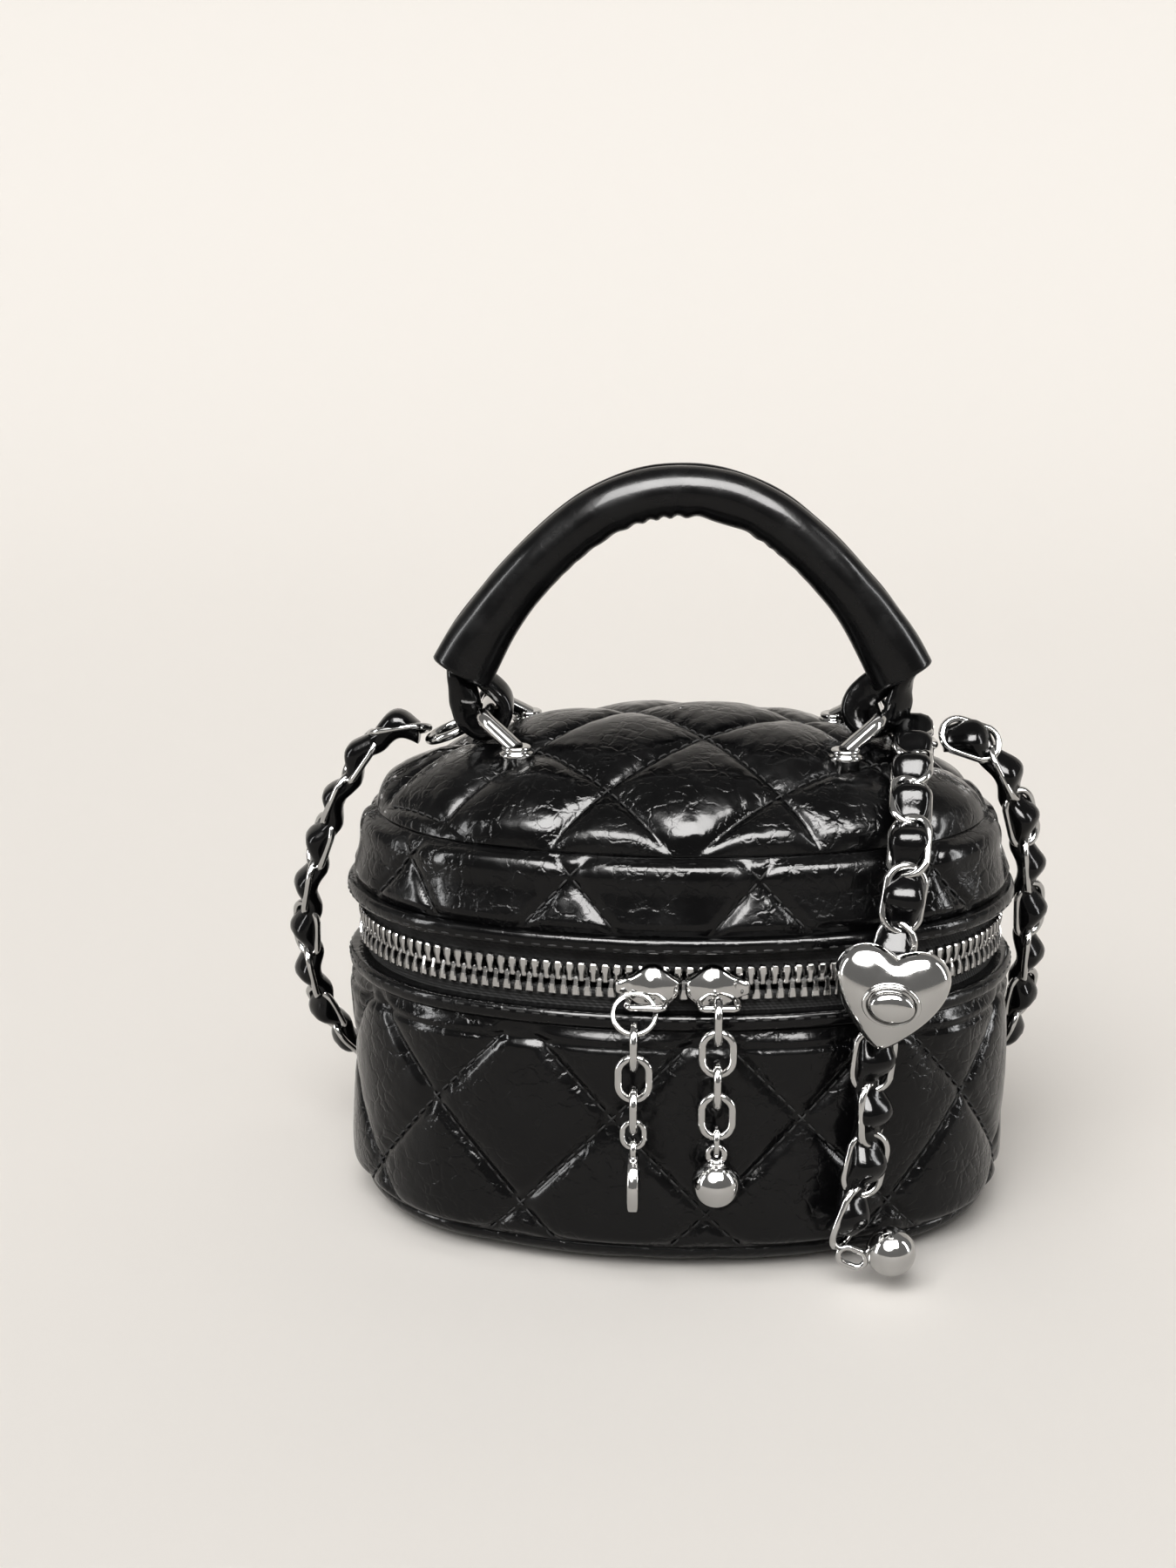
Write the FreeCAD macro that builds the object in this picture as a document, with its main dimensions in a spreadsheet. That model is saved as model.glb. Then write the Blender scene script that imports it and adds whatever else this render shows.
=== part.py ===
"""A small quilted vanity-case bag with a rolled handle, a two-way zip and a leather-and-chain strap.

Frame: the origin is the middle of the flat underside, +Z is up, -Y is the front with the zip pulls.
Every horizontal outline of the case is a four-arc oval: two wide arcs at the front and back
and two tight arcs at the ends, so that layers follow each other at an even distance.
"""
import FreeCAD, Part

import math
import os
import re

import Sketcher

Vector = FreeCAD.Vector
X_AXIS = Vector(1, 0, 0)
Y_AXIS = Vector(0, 1, 0)
Z_AXIS = Vector(0, 0, 1)
LEFT_AND_RIGHT = (("left", -1), ("right", 1))

DIMENSIONS = {
    # the case outline: radius and centre distance of the wide and the tight arcs
    "front_radius": 105, "side_radius": 40, "front_centre": 60, "side_centre": 25,
    # heights of the case, from the floor
    "bottom_seam": 4.5, "base_top": 48.5, "rim_low": 51.5, "chain_middle": 57, "rim_high": 63,
    "lid_start": 66, "lid_seam": 80, "lid_top": 98, "lid_lean": 17, "bottom_round": 9,
    # layers
    "leather": 2.7, "gap": 0.1, "tape": 0.8, "board": 1, "lining": 0.6, "rim_proud": 0.5, "rim_round": 1.2,
    "stiffener_low": 6, "board_inset": 8.5, "lining_round": 4.2, "lining_proud": 0.5,
    # blocks, larger than the case, that cut its walls into panels
    "region_long": 150, "region_deep": 110,
    # zip
    "tape_low": 42, "tape_to_middle": 2, "zip_end": 28, "hinge_strip_front": 31.6, "hinge_proud": 0.3,
    "tooth_pitch": 2.17, "tooth_reach": 3.2, "tooth_depth": 3.8, "tooth_root": 1.5, "tooth_head": 0.9,
    "tooth_low": 3.2, "tooth_clamp": 2.2, "tooth_slot": 1.3, "tooth_nose_low": 1, "tooth_nose": 1.5,
    "tooth_step": 0.4,
    # zip sliders
    "slider_width": 11.7, "slider_height": 8.6, "slider_thick": 1.6, "slider_radius": 106,
    "slider_bottom": 52.4, "slider_corner": 2.4, "slider_rim": 0.6, "slider_overhang": 0.3,
    "slider_space": 1.1, "bail_wire": 0.6, "bail_gap": 3.4, "bail_half": 3.4, "bail_height": 54.5,
    "bail_bend": 1.2,
    # zip pulls
    "jump_radius": 3.8, "jump_wire": 0.5, "jump_tilt": 38, "jump_aside": 2.2, "link_length": 9.3,
    "link_width": 7, "link_wire": 1.5, "link_pitch": 6, "small_length": 6, "small_width": 5,
    "small_wire": 1.1, "eye_radius": 1.5, "eye_wire": 0.6, "play": 0.3, "jump_play": 0.25,
    "link_offset": 0.7, "link_drop": 2.15, "coin_radius": 5.6, "coin_thick": 2.2, "coin_dome": 12.32,
    "coin_face": 1.6, "ball_radius": 4.45, "ball_sink": 0.2,
    # handle
    "apex_height": 141, "apex_radius": 32, "apex_angle": 38, "shoulder_radius": 80, "leg_angle": 62,
    "leg_length": 4, "grip_thick": 8.6, "grip_lobe_step": 2.3, "core_radius": 2,
    "bridge_x": 37.7, "bridge_top": 98.5, "bridge_foot_x": 31, "bridge_foot_y": 16,
    "bridge_bend_y": 10.5, "bridge_bend": 4, "bridge_wire": 1.6, "bridge_sink": 0.6,
    "collar_radius": 3, "collar_top": 94.4, "collar_rim": 0.6, "loop_hole": 3.4, "loop_thick": 1.4,
    "loop_width": 5, "loop_overlap": 1.2, "loop_long": 2.9, "screw_radius": 1.2, "screw_head": 2.4,
    "screw_head_tall": 1.2, "screw_low": 85.4, "screw_cover": 0.8,
    # strap
    "strap_radius": 3.5, "ring_radius": 5.5, "ring_wire": 0.9, "ring_x": 45.4, "ring_y": 10,
    "ring_height": 91.8, "ring_tilt": 23, "tab_width": 3.4, "tab_y": 9, "tab_hole": 1.7, "tab_thick": 0.9,
    "coil_radius": 40, "coil_half": 7, "coil_tall": 13.5, "coil_y": 104,
    "tail_link_length": 6.4, "tail_link_width": 4.4, "tail_link_wire": 1.2, "tail_link_turn": 112,
    "tail_ball_radius": 4.6,
    # heart slide on the hanging strap end
    "heart_width": 21.1, "heart_thick": 3.6, "heart_plate": 1, "heart_x": 37.4, "heart_y": -48.8,
    "heart_middle": 57.4, "heart_turn": 9.2, "heart_wall": 1, "heart_round": 2.2,
    "knob_long": 8, "knob_wide": 5.4, "knob_tall": 2.4, "knob_round": 0.9,
    "spindle_radius": 1, "spindle_hole": 1.3, "seat_long": 10, "seat_wide": 7.4, "seat_tall": 1,
    "keeper_wall": 0.6, "keeper_room": 0.3, "keeper_back": 0.2, "keeper_long": 5,
}

doc = FreeCAD.newDocument("vanity_bag")
sheet = doc.addObject("Spreadsheet::Sheet", "Sizes")
for row, (name, amount) in enumerate(DIMENSIONS.items(), start=1):
    sheet.set(f"A{row}", name)
    sheet.set(f"B{row}", str(amount))
    sheet.setAlias(f"B{row}", name)
doc.recompute()

parts = []

# lengths below this count as nothing when edges are told apart
TINY = 1e-4


def size(name):
    """A driving dimension as a number."""
    return float(sheet.get(name))


def formula(text):
    """The text with every driving dimension's name pointed at the sheet."""
    return re.sub(r"[a-z]\w*", lambda word: "Sizes." + word.group() if word.group() in DIMENSIONS
                  else word.group(), text)


def bind(thing, **amounts):
    """Drives properties of a document object by formulas of the sheet."""
    for key, text in amounts.items():
        thing.setExpression(key, formula(text))


def keep(thing, label):
    """Names a finished sub-part."""
    thing.Label = label
    parts.append(thing)
    return thing


def solid(label, shape):
    """A sub-part whose shape Part's functions made."""
    thing = doc.addObject("Part::Feature", label)
    thing.Shape = shape
    thing.Placement = shape.Placement
    return keep(thing, label)


def combine(kind, name, first, second):
    """Part::Cut or Part::Common of two document objects."""
    thing = doc.addObject(f"Part::{kind}", name)
    thing.Base = first
    thing.Tool = second
    return thing


def box(name, length, width, height, corner):
    """A Part::Box with its sizes and its lowest corner bound to the sheet."""
    thing = doc.addObject("Part::Box", name)
    bind(thing, Length=length, Width=width, Height=height)
    for axis, text in zip("xyz", corner):
        thing.setExpression(f"Placement.Base.{axis}", formula(text))
    return thing


# --- ovals -----------------------------------------------------------------------------------------

def draw_oval(sketch, inset, scale="1"):
    """Four tangent arcs, each end on the line through its own centre and its neighbour's."""
    front_centre = size("front_centre")
    side_centre = size("side_centre")
    meet = math.atan2(side_centre, front_centre)
    right = math.pi / 2
    arcs = (
        (0, front_centre, size("front_radius"), -right - meet, -right + meet),
        (side_centre, 0, size("side_radius"), -right + meet, right - meet),
        (0, -front_centre, size("front_radius"), right - meet, right + meet),
        (-side_centre, 0, size("side_radius"), right + meet, 3 * right - meet),
    )
    drawn = [sketch.addGeometry(Part.ArcOfCircle(Part.Circle(Vector(x, y, 0), Z_AXIS, radius), start, end))
             for x, y, radius, start, end in arcs]
    for index, arc in enumerate(drawn):
        wide = index % 2 == 0
        name = "front" if wide else "side"
        ends = ((-1, 1), (arc, 3)) if index < 2 else ((arc, 3), (-1, 1))
        sketch.addConstraint(Sketcher.Constraint("PointOnObject", arc, 3, -2 if wide else -1))
        distance = sketch.addConstraint(Sketcher.Constraint(
            "DistanceY" if wide else "DistanceX", *ends[0], *ends[1], size(f"{name}_centre")))
        radius = sketch.addConstraint(Sketcher.Constraint("Radius", arc, size(f"{name}_radius")))
        sketch.setExpression(f"Constraints[{distance}]", formula(f"{name}_centre * ({scale})"))
        sketch.setExpression(f"Constraints[{radius}]", formula(f"({name}_radius - ({inset})) * ({scale})"))
    for index, arc in enumerate(drawn):
        following = (index + 1) % 4
        start = Vector(*arcs[index][:2], 0)
        end = Vector(*arcs[following][:2], 0)
        line = sketch.addGeometry(Part.LineSegment(start, end), True)
        sketch.addConstraint(Sketcher.Constraint("Coincident", line, 1, arc, 3))
        sketch.addConstraint(Sketcher.Constraint("Coincident", line, 2, drawn[following], 3))
        sketch.addConstraint(Sketcher.Constraint("PointOnObject", arc, 2, line))
        sketch.addConstraint(Sketcher.Constraint("PointOnObject", drawn[following], 1, line))


def plane_sketch(body, name, role, offset="0"):
    """A sketch on one of the body's own origin planes, moved along that plane's normal."""
    sketch = body.newObject("Sketcher::SketchObject", name)
    plane = [feature for feature in body.Origin.OriginFeatures if feature.Role == role][0]
    sketch.AttachmentSupport = [(plane, "")]
    sketch.MapMode = "FlatFace"
    sketch.setExpression("AttachmentOffset.Base.z", formula(offset))
    return sketch


def pad_oval(body, name, inset, bottom, top, lean=None):
    """Adds an oval prism, or a leaning one, to the body."""
    sketch = plane_sketch(body, f"{name}_sketch", "XY_Plane", bottom)
    draw_oval(sketch, inset)
    pad = body.newObject("PartDesign::Pad", name)
    pad.Profile = sketch
    bind(pad, Length=f"({top}) - ({bottom})")
    if lean:
        bind(pad, TaperAngle=f"-({lean})")
    return pad


def level_edges(feature, height):
    """Names of the feature's edges that lie wholly at one height."""
    names = []
    for index, edge in enumerate(feature.Shape.Edges, start=1):
        extent = edge.BoundBox
        if abs(extent.ZMin - height) < TINY and abs(extent.ZMax - height) < TINY:
            names.append(f"Edge{index}")
    return names


def outer_edges(feature):
    """Names of the edges round the outside of the feature's level faces."""
    level_faces = [face for face in feature.Shape.Faces if face.BoundBox.ZLength < TINY]
    rims = [edge for face in level_faces for edge in face.OuterWire.Edges]
    return [f"Edge{index}" for index, edge in enumerate(feature.Shape.Edges, start=1)
            if any(edge.isSame(rim) for rim in rims)]


def round_edges(body, name, feature, height, radius):
    """Rounds every edge of the feature at one height."""
    doc.recompute()
    rounding = body.newObject("PartDesign::Fillet", name)
    rounding.Base = (feature, level_edges(feature, height))
    bind(rounding, Radius=radius)
    return rounding


def oval_block(name, inset, bottom, top, bottom_round=None):
    """A solid oval block, rounded along its lower edge where a radius is given."""
    body = doc.addObject("PartDesign::Body", name)
    pad = pad_oval(body, f"{name}_pad", inset, bottom, top)
    if bottom_round:
        doc.recompute()
        round_edges(body, f"{name}_round", pad, pad.Shape.BoundBox.ZMin, bottom_round)
    return body


def oval_band(label, outer, inner, bottom, top, edge_round=None):
    """A closed band between two ovals, as one padded sketch."""
    body = doc.addObject("PartDesign::Body", label)
    sketch = plane_sketch(body, f"{label}_sketch", "XY_Plane", bottom)
    draw_oval(sketch, outer)
    draw_oval(sketch, inner)
    pad = body.newObject("PartDesign::Pad", f"{label}_pad")
    pad.Profile = sketch
    bind(pad, Length=f"({top}) - ({bottom})")
    if edge_round:
        doc.recompute()
        rounding = body.newObject("PartDesign::Fillet", f"{label}_round")
        rounding.Base = (pad, outer_edges(pad))
        bind(rounding, Radius=edge_round)
    return body


def lid_form(name, inset, bottom):
    """The lid's outer form, shrunk by an inset: a low upright wall, a leaning wall and a dome."""
    body = doc.addObject("PartDesign::Body", name)
    pad_oval(body, f"{name}_wall", inset, bottom, "lid_start")
    pad_oval(body, f"{name}_lean", inset, "lid_start", "lid_seam", "lid_lean")
    lean_in = "(lid_seam - lid_start) * tan(lid_lean * 1deg)"
    sketches = []
    for step, angle in enumerate((0, 15, 30, 45, 60, 75, 84)):
        level = f"lid_seam + (lid_top - ({inset}) - lid_seam) * sin({angle}deg) ^ 1.5"
        sketch = plane_sketch(body, f"{name}_dome{step}", "XY_Plane", level)
        draw_oval(sketch, f"({inset}) + {lean_in}", f"cos({angle}deg)")
        sketches.append(sketch)
    dome = body.newObject("PartDesign::AdditiveLoft", f"{name}_dome")
    dome.Profile = sketches[0]
    dome.Sections = sketches[1:]
    return body


def region(name, bottom, top, front="-region_deep / 2"):
    """A block between two heights that cuts a panel out of a wall."""
    return box(name, "region_long", "region_deep", f"({top}) - ({bottom})",
               ("-region_long / 2", front, bottom))


# --- the base ---------------------------------------------------------------------------------------

def make_base():
    """Leather wall and underside, then board and lining inside them."""
    outside = oval_block("base_outside", "0", "0", "base_top - gap", "bottom_round")
    inside = oval_block("base_inside", "leather", "leather", "base_top + gap", "bottom_round - leather")
    shell = combine("Cut", "base_leather", outside, inside)
    below = region("below_seam", "-gap", "bottom_seam - gap / 2")
    above = region("above_seam", "bottom_seam + gap / 2", "rim_low")
    keep(combine("Common", "bottom_panel", shell, below), "bottom_panel")
    keep(combine("Common", "base_side_band", shell, above), "base_side_band")
    keep(oval_band("base_rim_binding", "-rim_proud", "leather", "base_top", "rim_low", "rim_round"),
         "base_rim_binding")
    keep(oval_band("base_stiffener", "leather + tape + 2 * gap", "leather + tape + board + 2 * gap",
                   "stiffener_low", "rim_low"), "base_stiffener")
    cup = oval_block("lining_outside", "leather + tape + board + 3 * gap", "leather + board + 3 * gap",
                     "rim_low + lining_proud", "lining_round")
    hollow = oval_block("lining_inside", "leather + tape + board + lining + 3 * gap",
                        "leather + board + lining + 3 * gap", "rim_high", "lining_round - lining")
    keep(combine("Cut", "base_lining", cup, hollow), "base_lining")
    keep(oval_block("bottom_board", "board_inset", "leather + gap", "leather + gap + board"), "bottom_board")


# --- the lid ----------------------------------------------------------------------------------------

def make_lid(drill):
    """The lid's leather is cut at the seam into a side band and a domed top panel."""
    inset_of_board = "leather + tape + 2 * gap"
    inset_of_lining = "leather + tape + board + 3 * gap"
    outside = lid_form("lid_outside", "0", "lid_start - 1")
    inside = lid_form("lid_inside", "leather", "lid_start - 2")
    shell = combine("Cut", "lid_leather", outside, inside)
    below = region("below_lid_seam", "lid_start + gap", "lid_seam")
    above = region("above_lid_seam", "lid_seam + gap / 2", "lid_top + leather")
    keep(combine("Common", "lid_side_band", shell, below), "lid_side_band")
    panel = combine("Common", "lid_panel_whole", shell, above)
    board = combine("Cut", "lid_board_whole", lid_form("board_outside", inset_of_board, "rim_high"),
                    lid_form("board_inside", f"{inset_of_board} + board", "rim_high - 1"))
    lining = combine("Cut", "lid_lining_whole",
                     lid_form("cloth_outside", inset_of_lining, "rim_high - lining_proud"),
                     lid_form("cloth_inside", f"{inset_of_lining} + lining", "rim_high - 2"))
    keep(combine("Cut", "lid_top_panel", panel, drill), "lid_top_panel")
    keep(combine("Cut", "lid_stiffener", board, drill), "lid_stiffener")
    keep(combine("Cut", "lid_lining", lining, drill), "lid_lining")
    keep(oval_band("lid_rim_binding", "-rim_proud", "leather", "rim_high", "lid_start", "rim_round"),
         "lid_rim_binding")


# --- the zip and the leather hinge behind it ----------------------------------------------------------

def make_tapes():
    """The zip's two ribbons, inside the leather of the base and of the lid."""
    tape = ("leather + gap", "leather + gap + tape")
    keep(oval_band("zip_tape_lower", *tape, "tape_low", "chain_middle - tape_to_middle"), "zip_tape_lower")
    keep(oval_band("zip_tape_upper", *tape, "chain_middle + tape_to_middle", "lid_start"), "zip_tape_upper")


def make_hinge_strips():
    """One leather strip across the back, split where it folds."""
    whole = oval_band("strip_whole", "-hinge_proud", "leather", "rim_low + gap", "rim_high - gap")
    for label, bottom, top in (("hinge_strip_lower", "rim_low", "chain_middle - gap"),
                               ("hinge_strip_upper", "chain_middle + gap", "rim_high")):
        across_back = region(f"{label}_region", bottom, top, "hinge_strip_front")
        keep(combine("Common", label, whole, across_back), label)


def along_zip(distance):
    """The point and the heading angle at a signed distance along the zip from the front centre."""
    inset = size("tooth_reach")
    wide = size("front_radius") - inset
    tight = size("side_radius") - inset
    meet = math.atan2(size("side_centre"), size("front_centre"))
    side = math.copysign(1, distance)
    length = abs(distance)
    if length < wide * meet:
        angle = length / wide
        point = Vector(side * wide * math.sin(angle), size("front_centre") - wide * math.cos(angle), 0)
    else:
        angle = meet + (length - wide * meet) / tight
        point = Vector(side * (size("side_centre") + tight * math.sin(angle)), -tight * math.cos(angle), 0)
    return point, side * angle


def tooth(direction):
    """One tooth at the front centre: a clamp on the tape's edge and a head that reaches to the other row."""
    middle = size("chain_middle")
    depth = size("tooth_depth")
    root = size("tooth_root")
    head = size("tooth_head")
    low = -size("tooth_low")
    step = size("tooth_step")
    clamp = Part.makeBox(root, depth, size("tooth_clamp"), Vector(-root / 2, -depth / 2, low))
    nose = Part.makeBox(head, depth - 2 * step, size("tooth_nose"),
                        Vector(-head / 2, step - depth / 2, -size("tooth_nose_low")))
    slot_half = size("tape") / 2 + size("gap") / 2
    slot = Part.makeBox(root, 2 * slot_half, size("tooth_slot"), Vector(-root / 2, -slot_half, low))
    shape = clamp.cut(slot).fuse(nose).removeSplitter()
    if direction < 0:
        shape.rotate(Vector(0, 0, 0), Y_AXIS, 180)
    shape.translate(Vector(0, 0, middle))
    return shape


def make_teeth():
    """Both rows run from one end of the zip round the front to the other, half a pitch apart."""
    pitch = size("tooth_pitch")
    length = 0
    while along_zip(length)[0].y < size("zip_end"):
        length += pitch
    count = int(length / pitch)
    for label, direction, shift in (("zip_teeth_lower", 1, 0), ("zip_teeth_upper", -1, pitch / 2)):
        row = []
        for index in range(-count, count):
            point, angle = along_zip(index * pitch + shift)
            single = tooth(direction)
            single.rotate(Vector(0, 0, 0), Z_AXIS, math.degrees(angle))
            single.translate(point)
            row.append(single)
        solid(label, Part.makeCompound(row))


# --- wire, links and rings ------------------------------------------------------------------------------

def sweep_round(path, radius):
    """A round wire along a path."""
    start = path.OrderedEdges[0]
    first = start.FirstParameter if start.Orientation == "Forward" else start.LastParameter
    heading = start.tangentAt(first)
    if start.Orientation != "Forward":
        heading = -heading
    circle = Part.Wire(Part.makeCircle(radius, start.valueAt(first), heading))
    return path.makePipeShell([circle], True, True, 2)


def oval_link(length, width, wire):
    """A long link in the XZ plane, centred on the origin."""
    radius = (width - wire) / 2
    half = (length - width) / 2
    tip = half + radius
    top = Part.Arc(Vector(radius, 0, half), Vector(0, 0, tip), Vector(-radius, 0, half)).toShape()
    low = Part.Arc(Vector(-radius, 0, -half), Vector(0, 0, -tip), Vector(radius, 0, -half)).toShape()
    down = Part.LineSegment(Vector(-radius, 0, half), Vector(-radius, 0, -half)).toShape()
    up = Part.LineSegment(Vector(radius, 0, -half), Vector(radius, 0, half)).toShape()
    return sweep_round(Part.Wire([top, down, low, up]), wire / 2)


def round_ring(radius, wire):
    """A ring in the XZ plane, centred on the origin."""
    return Part.makeTorus(radius, wire, Vector(0, 0, 0), Y_AXIS)


def placed(shape, centre, turns=()):
    """The shape turned about the origin's axes in order, then moved to its centre."""
    for axis, degrees in turns:
        shape.rotate(Vector(0, 0, 0), axis, degrees)
    shape.translate(centre)
    return shape


def slot_prism(start, end, radius, width):
    """A long hole's shape in the XZ plane from start to end, width long in Y about the first point."""
    along = (end - start).normalize()
    across = Vector(-along.z, 0, along.x) * radius
    tip = Part.Arc(end + across, end + along * radius, end - across).toShape()
    tail = Part.Arc(start - across, start - along * radius, start + across).toShape()
    sides = [Part.LineSegment(start + across, end + across).toShape(),
             Part.LineSegment(end - across, start - across).toShape()]
    wire = Part.Wire(Part.__sortEdges__([tip, tail] + sides))
    wire.translate(Vector(0, -width / 2, 0))
    return Part.Face(wire).extrude(Vector(0, width, 0))


# --- zip sliders and their pulls ---------------------------------------------------------------------

def slider_frame(side):
    """The middle of a slider's face at the bail's height, and its angle about the front arc's centre."""
    clear_of_middle = -size("slider_overhang") if side < 0 else size("slider_overhang") + size("slider_space")
    reach = size("slider_width") / 2 + clear_of_middle
    angle = math.asin(side * reach / size("slider_radius"))
    radius = size("slider_radius")
    across = radius * math.sin(angle)
    deep = size("front_centre") - radius * math.cos(angle)
    return Vector(across, deep, size("bail_height")), math.degrees(angle)


def make_sliders():
    """Each slider is a rounded front plate with a wire bail across it."""
    width = size("slider_width")
    thick = size("slider_thick")
    tall = size("slider_height")
    drop = size("bail_height") - size("slider_bottom")
    for name, side in LEFT_AND_RIGHT:
        centre, angle = slider_frame(side)
        plate = Part.makeBox(width, thick, tall, Vector(-width / 2, 0, -drop))
        upright = [edge for edge in plate.Edges if edge.BoundBox.YLength > thick / 2]
        plate = plate.makeFillet(size("slider_corner"), upright)
        rim = [edge for edge in plate.Edges if abs(edge.BoundBox.YMax) < TINY]
        plate = plate.makeFillet(size("slider_rim"), rim)
        solid(f"slider_{name}_body", placed(plate, centre, [(Z_AXIS, angle)]))
        half = size("bail_half")
        out = -size("bail_gap") - size("bail_wire")
        corners = [Vector(-half, 0, 0), Vector(-half, out, 0), Vector(half, out, 0), Vector(half, 0, 0)]
        path, _ = rounded_path(corners, [size("bail_bend")] * 2)
        bail = sweep_round(path, size("bail_wire"))
        solid(f"slider_{name}_bail", placed(bail, centre, [(Z_AXIS, angle)]))


def make_left_pull():
    """A jump ring round one leg of the bail, three links, a small ring and a plain coin charm."""
    centre, _ = slider_frame(-1)
    tilt = size("jump_tilt")
    crossing = centre - Vector(size("jump_aside"), size("bail_gap") / 2, 0)
    down = Vector(0, -math.sin(math.radians(tilt)), -math.cos(math.radians(tilt)))
    ring_centre = crossing + down * (size("jump_radius") / 2)
    solid("pull_left_jump_ring", placed(round_ring(size("jump_radius"), size("jump_wire")), ring_centre,
                                        [(X_AXIS, -tilt)]))
    low = ring_centre + down * size("jump_radius")
    inner = (size("link_length") - size("link_wire")) / 2
    rise = size("jump_wire") + size("link_wire") / 2 + size("jump_play") - inner
    place = low + Vector(0, 0, rise)
    for index, turn in enumerate((90, 0, 90), start=1):
        link = oval_link(size("link_length"), size("link_width"), size("link_wire"))
        solid(f"pull_left_link_{index}", placed(link, place, [(Z_AXIS, turn)]))
        place = place - Vector(0, 0, size("link_pitch"))
    place = place + Vector(0, 0, size("link_pitch") - small_pitch())
    solid("pull_left_small_ring", placed(small_ring(), place))
    eye_centre, eye = charm_eye(place, 90)
    radius = size("coin_radius")
    thick = size("coin_thick")
    dome = size("coin_dome")
    face = Part.makeSphere(dome, Vector(size("coin_face") - dome, 0, 0))
    coin = Part.makeCylinder(radius, thick, Vector(-thick / 2, 0, 0), X_AXIS).common(face)
    coin.translate(eye_centre - Vector(0, 0, size("eye_radius") + radius - size("play")))
    solid("pull_left_coin", coin.fuse(eye).removeSplitter())


def small_pitch():
    """Distance from a long link's centre to the centre of the small ring that hangs in it."""
    lengths = size("link_length") + size("small_length")
    return lengths / 2 - size("link_wire") - size("small_wire") - size("play")


def small_ring():
    """The ring that joins a charm to its chain."""
    return oval_link(size("small_length"), size("small_width"), size("small_wire"))


def charm_eye(ring_place, turn):
    """The cast eye of a charm that hangs in a small ring, and the eye's centre."""
    eye_radius = size("eye_radius")
    wire = size("eye_wire")
    drop = size("small_length") / 2 - size("small_wire") + eye_radius - wire - size("play")
    centre = ring_place - Vector(0, 0, drop)
    return centre, placed(round_ring(eye_radius, wire), centre, [(Z_AXIS, turn)])


def make_right_pull():
    """Four links straight on the bail, a small ring and a ball."""
    centre, _ = slider_frame(1)
    bar = centre - Vector(0, size("bail_gap") + size("bail_wire"), 0)
    place = bar - Vector(0, size("link_offset"), size("link_drop"))
    for index, turn in enumerate((90, 0, 90, 0), start=1):
        link = oval_link(size("link_length"), size("link_width"), size("link_wire"))
        solid(f"pull_right_link_{index}", placed(link, place, [(Z_AXIS, turn)]))
        place = place - Vector(0, 0, size("link_pitch"))
    place = place + Vector(0, 0, size("link_pitch") - small_pitch())
    solid("pull_right_small_ring", placed(small_ring(), place, [(Z_AXIS, 90)]))
    eye_centre, eye = charm_eye(place, 0)
    radius = size("ball_radius")
    ball = Part.makeSphere(radius, eye_centre - Vector(0, 0, size("eye_radius") + radius - size("ball_sink")))
    solid("pull_right_ball", ball.fuse(eye).removeSplitter())


# --- handle ------------------------------------------------------------------------------------------

def handle_path():
    """The handle's centre line in the XZ plane, from the left leg over the top to the right leg."""
    apex = math.radians(size("apex_angle"))
    leg = math.radians(size("leg_angle"))
    tight = size("apex_radius")
    wide = size("shoulder_radius")
    top = size("apex_height")

    def on_apex(angle):
        return Vector(tight * math.sin(angle), 0, top - tight * (1 - math.cos(angle)))

    def on_shoulder(angle):
        start = on_apex(apex)
        return start + Vector(wide * (math.sin(angle) - math.sin(apex)), 0,
                              wide * (math.cos(angle) - math.cos(apex)))

    def mirrored(point):
        return Vector(-point.x, point.y, point.z)

    end = on_shoulder(leg) + Vector(math.cos(leg), 0, -math.sin(leg)) * size("leg_length")
    middle = (apex + leg) / 2
    edges = [
        Part.LineSegment(mirrored(end), mirrored(on_shoulder(leg))).toShape(),
        Part.Arc(mirrored(on_shoulder(leg)), mirrored(on_shoulder(middle)),
                 mirrored(on_apex(apex))).toShape(),
        Part.Arc(mirrored(on_apex(apex)), on_apex(0), on_apex(apex)).toShape(),
        Part.Arc(on_apex(apex), on_shoulder(middle), on_shoulder(leg)).toShape(),
        Part.LineSegment(on_shoulder(leg), end).toShape(),
    ]
    return Part.Wire(edges), end


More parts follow.
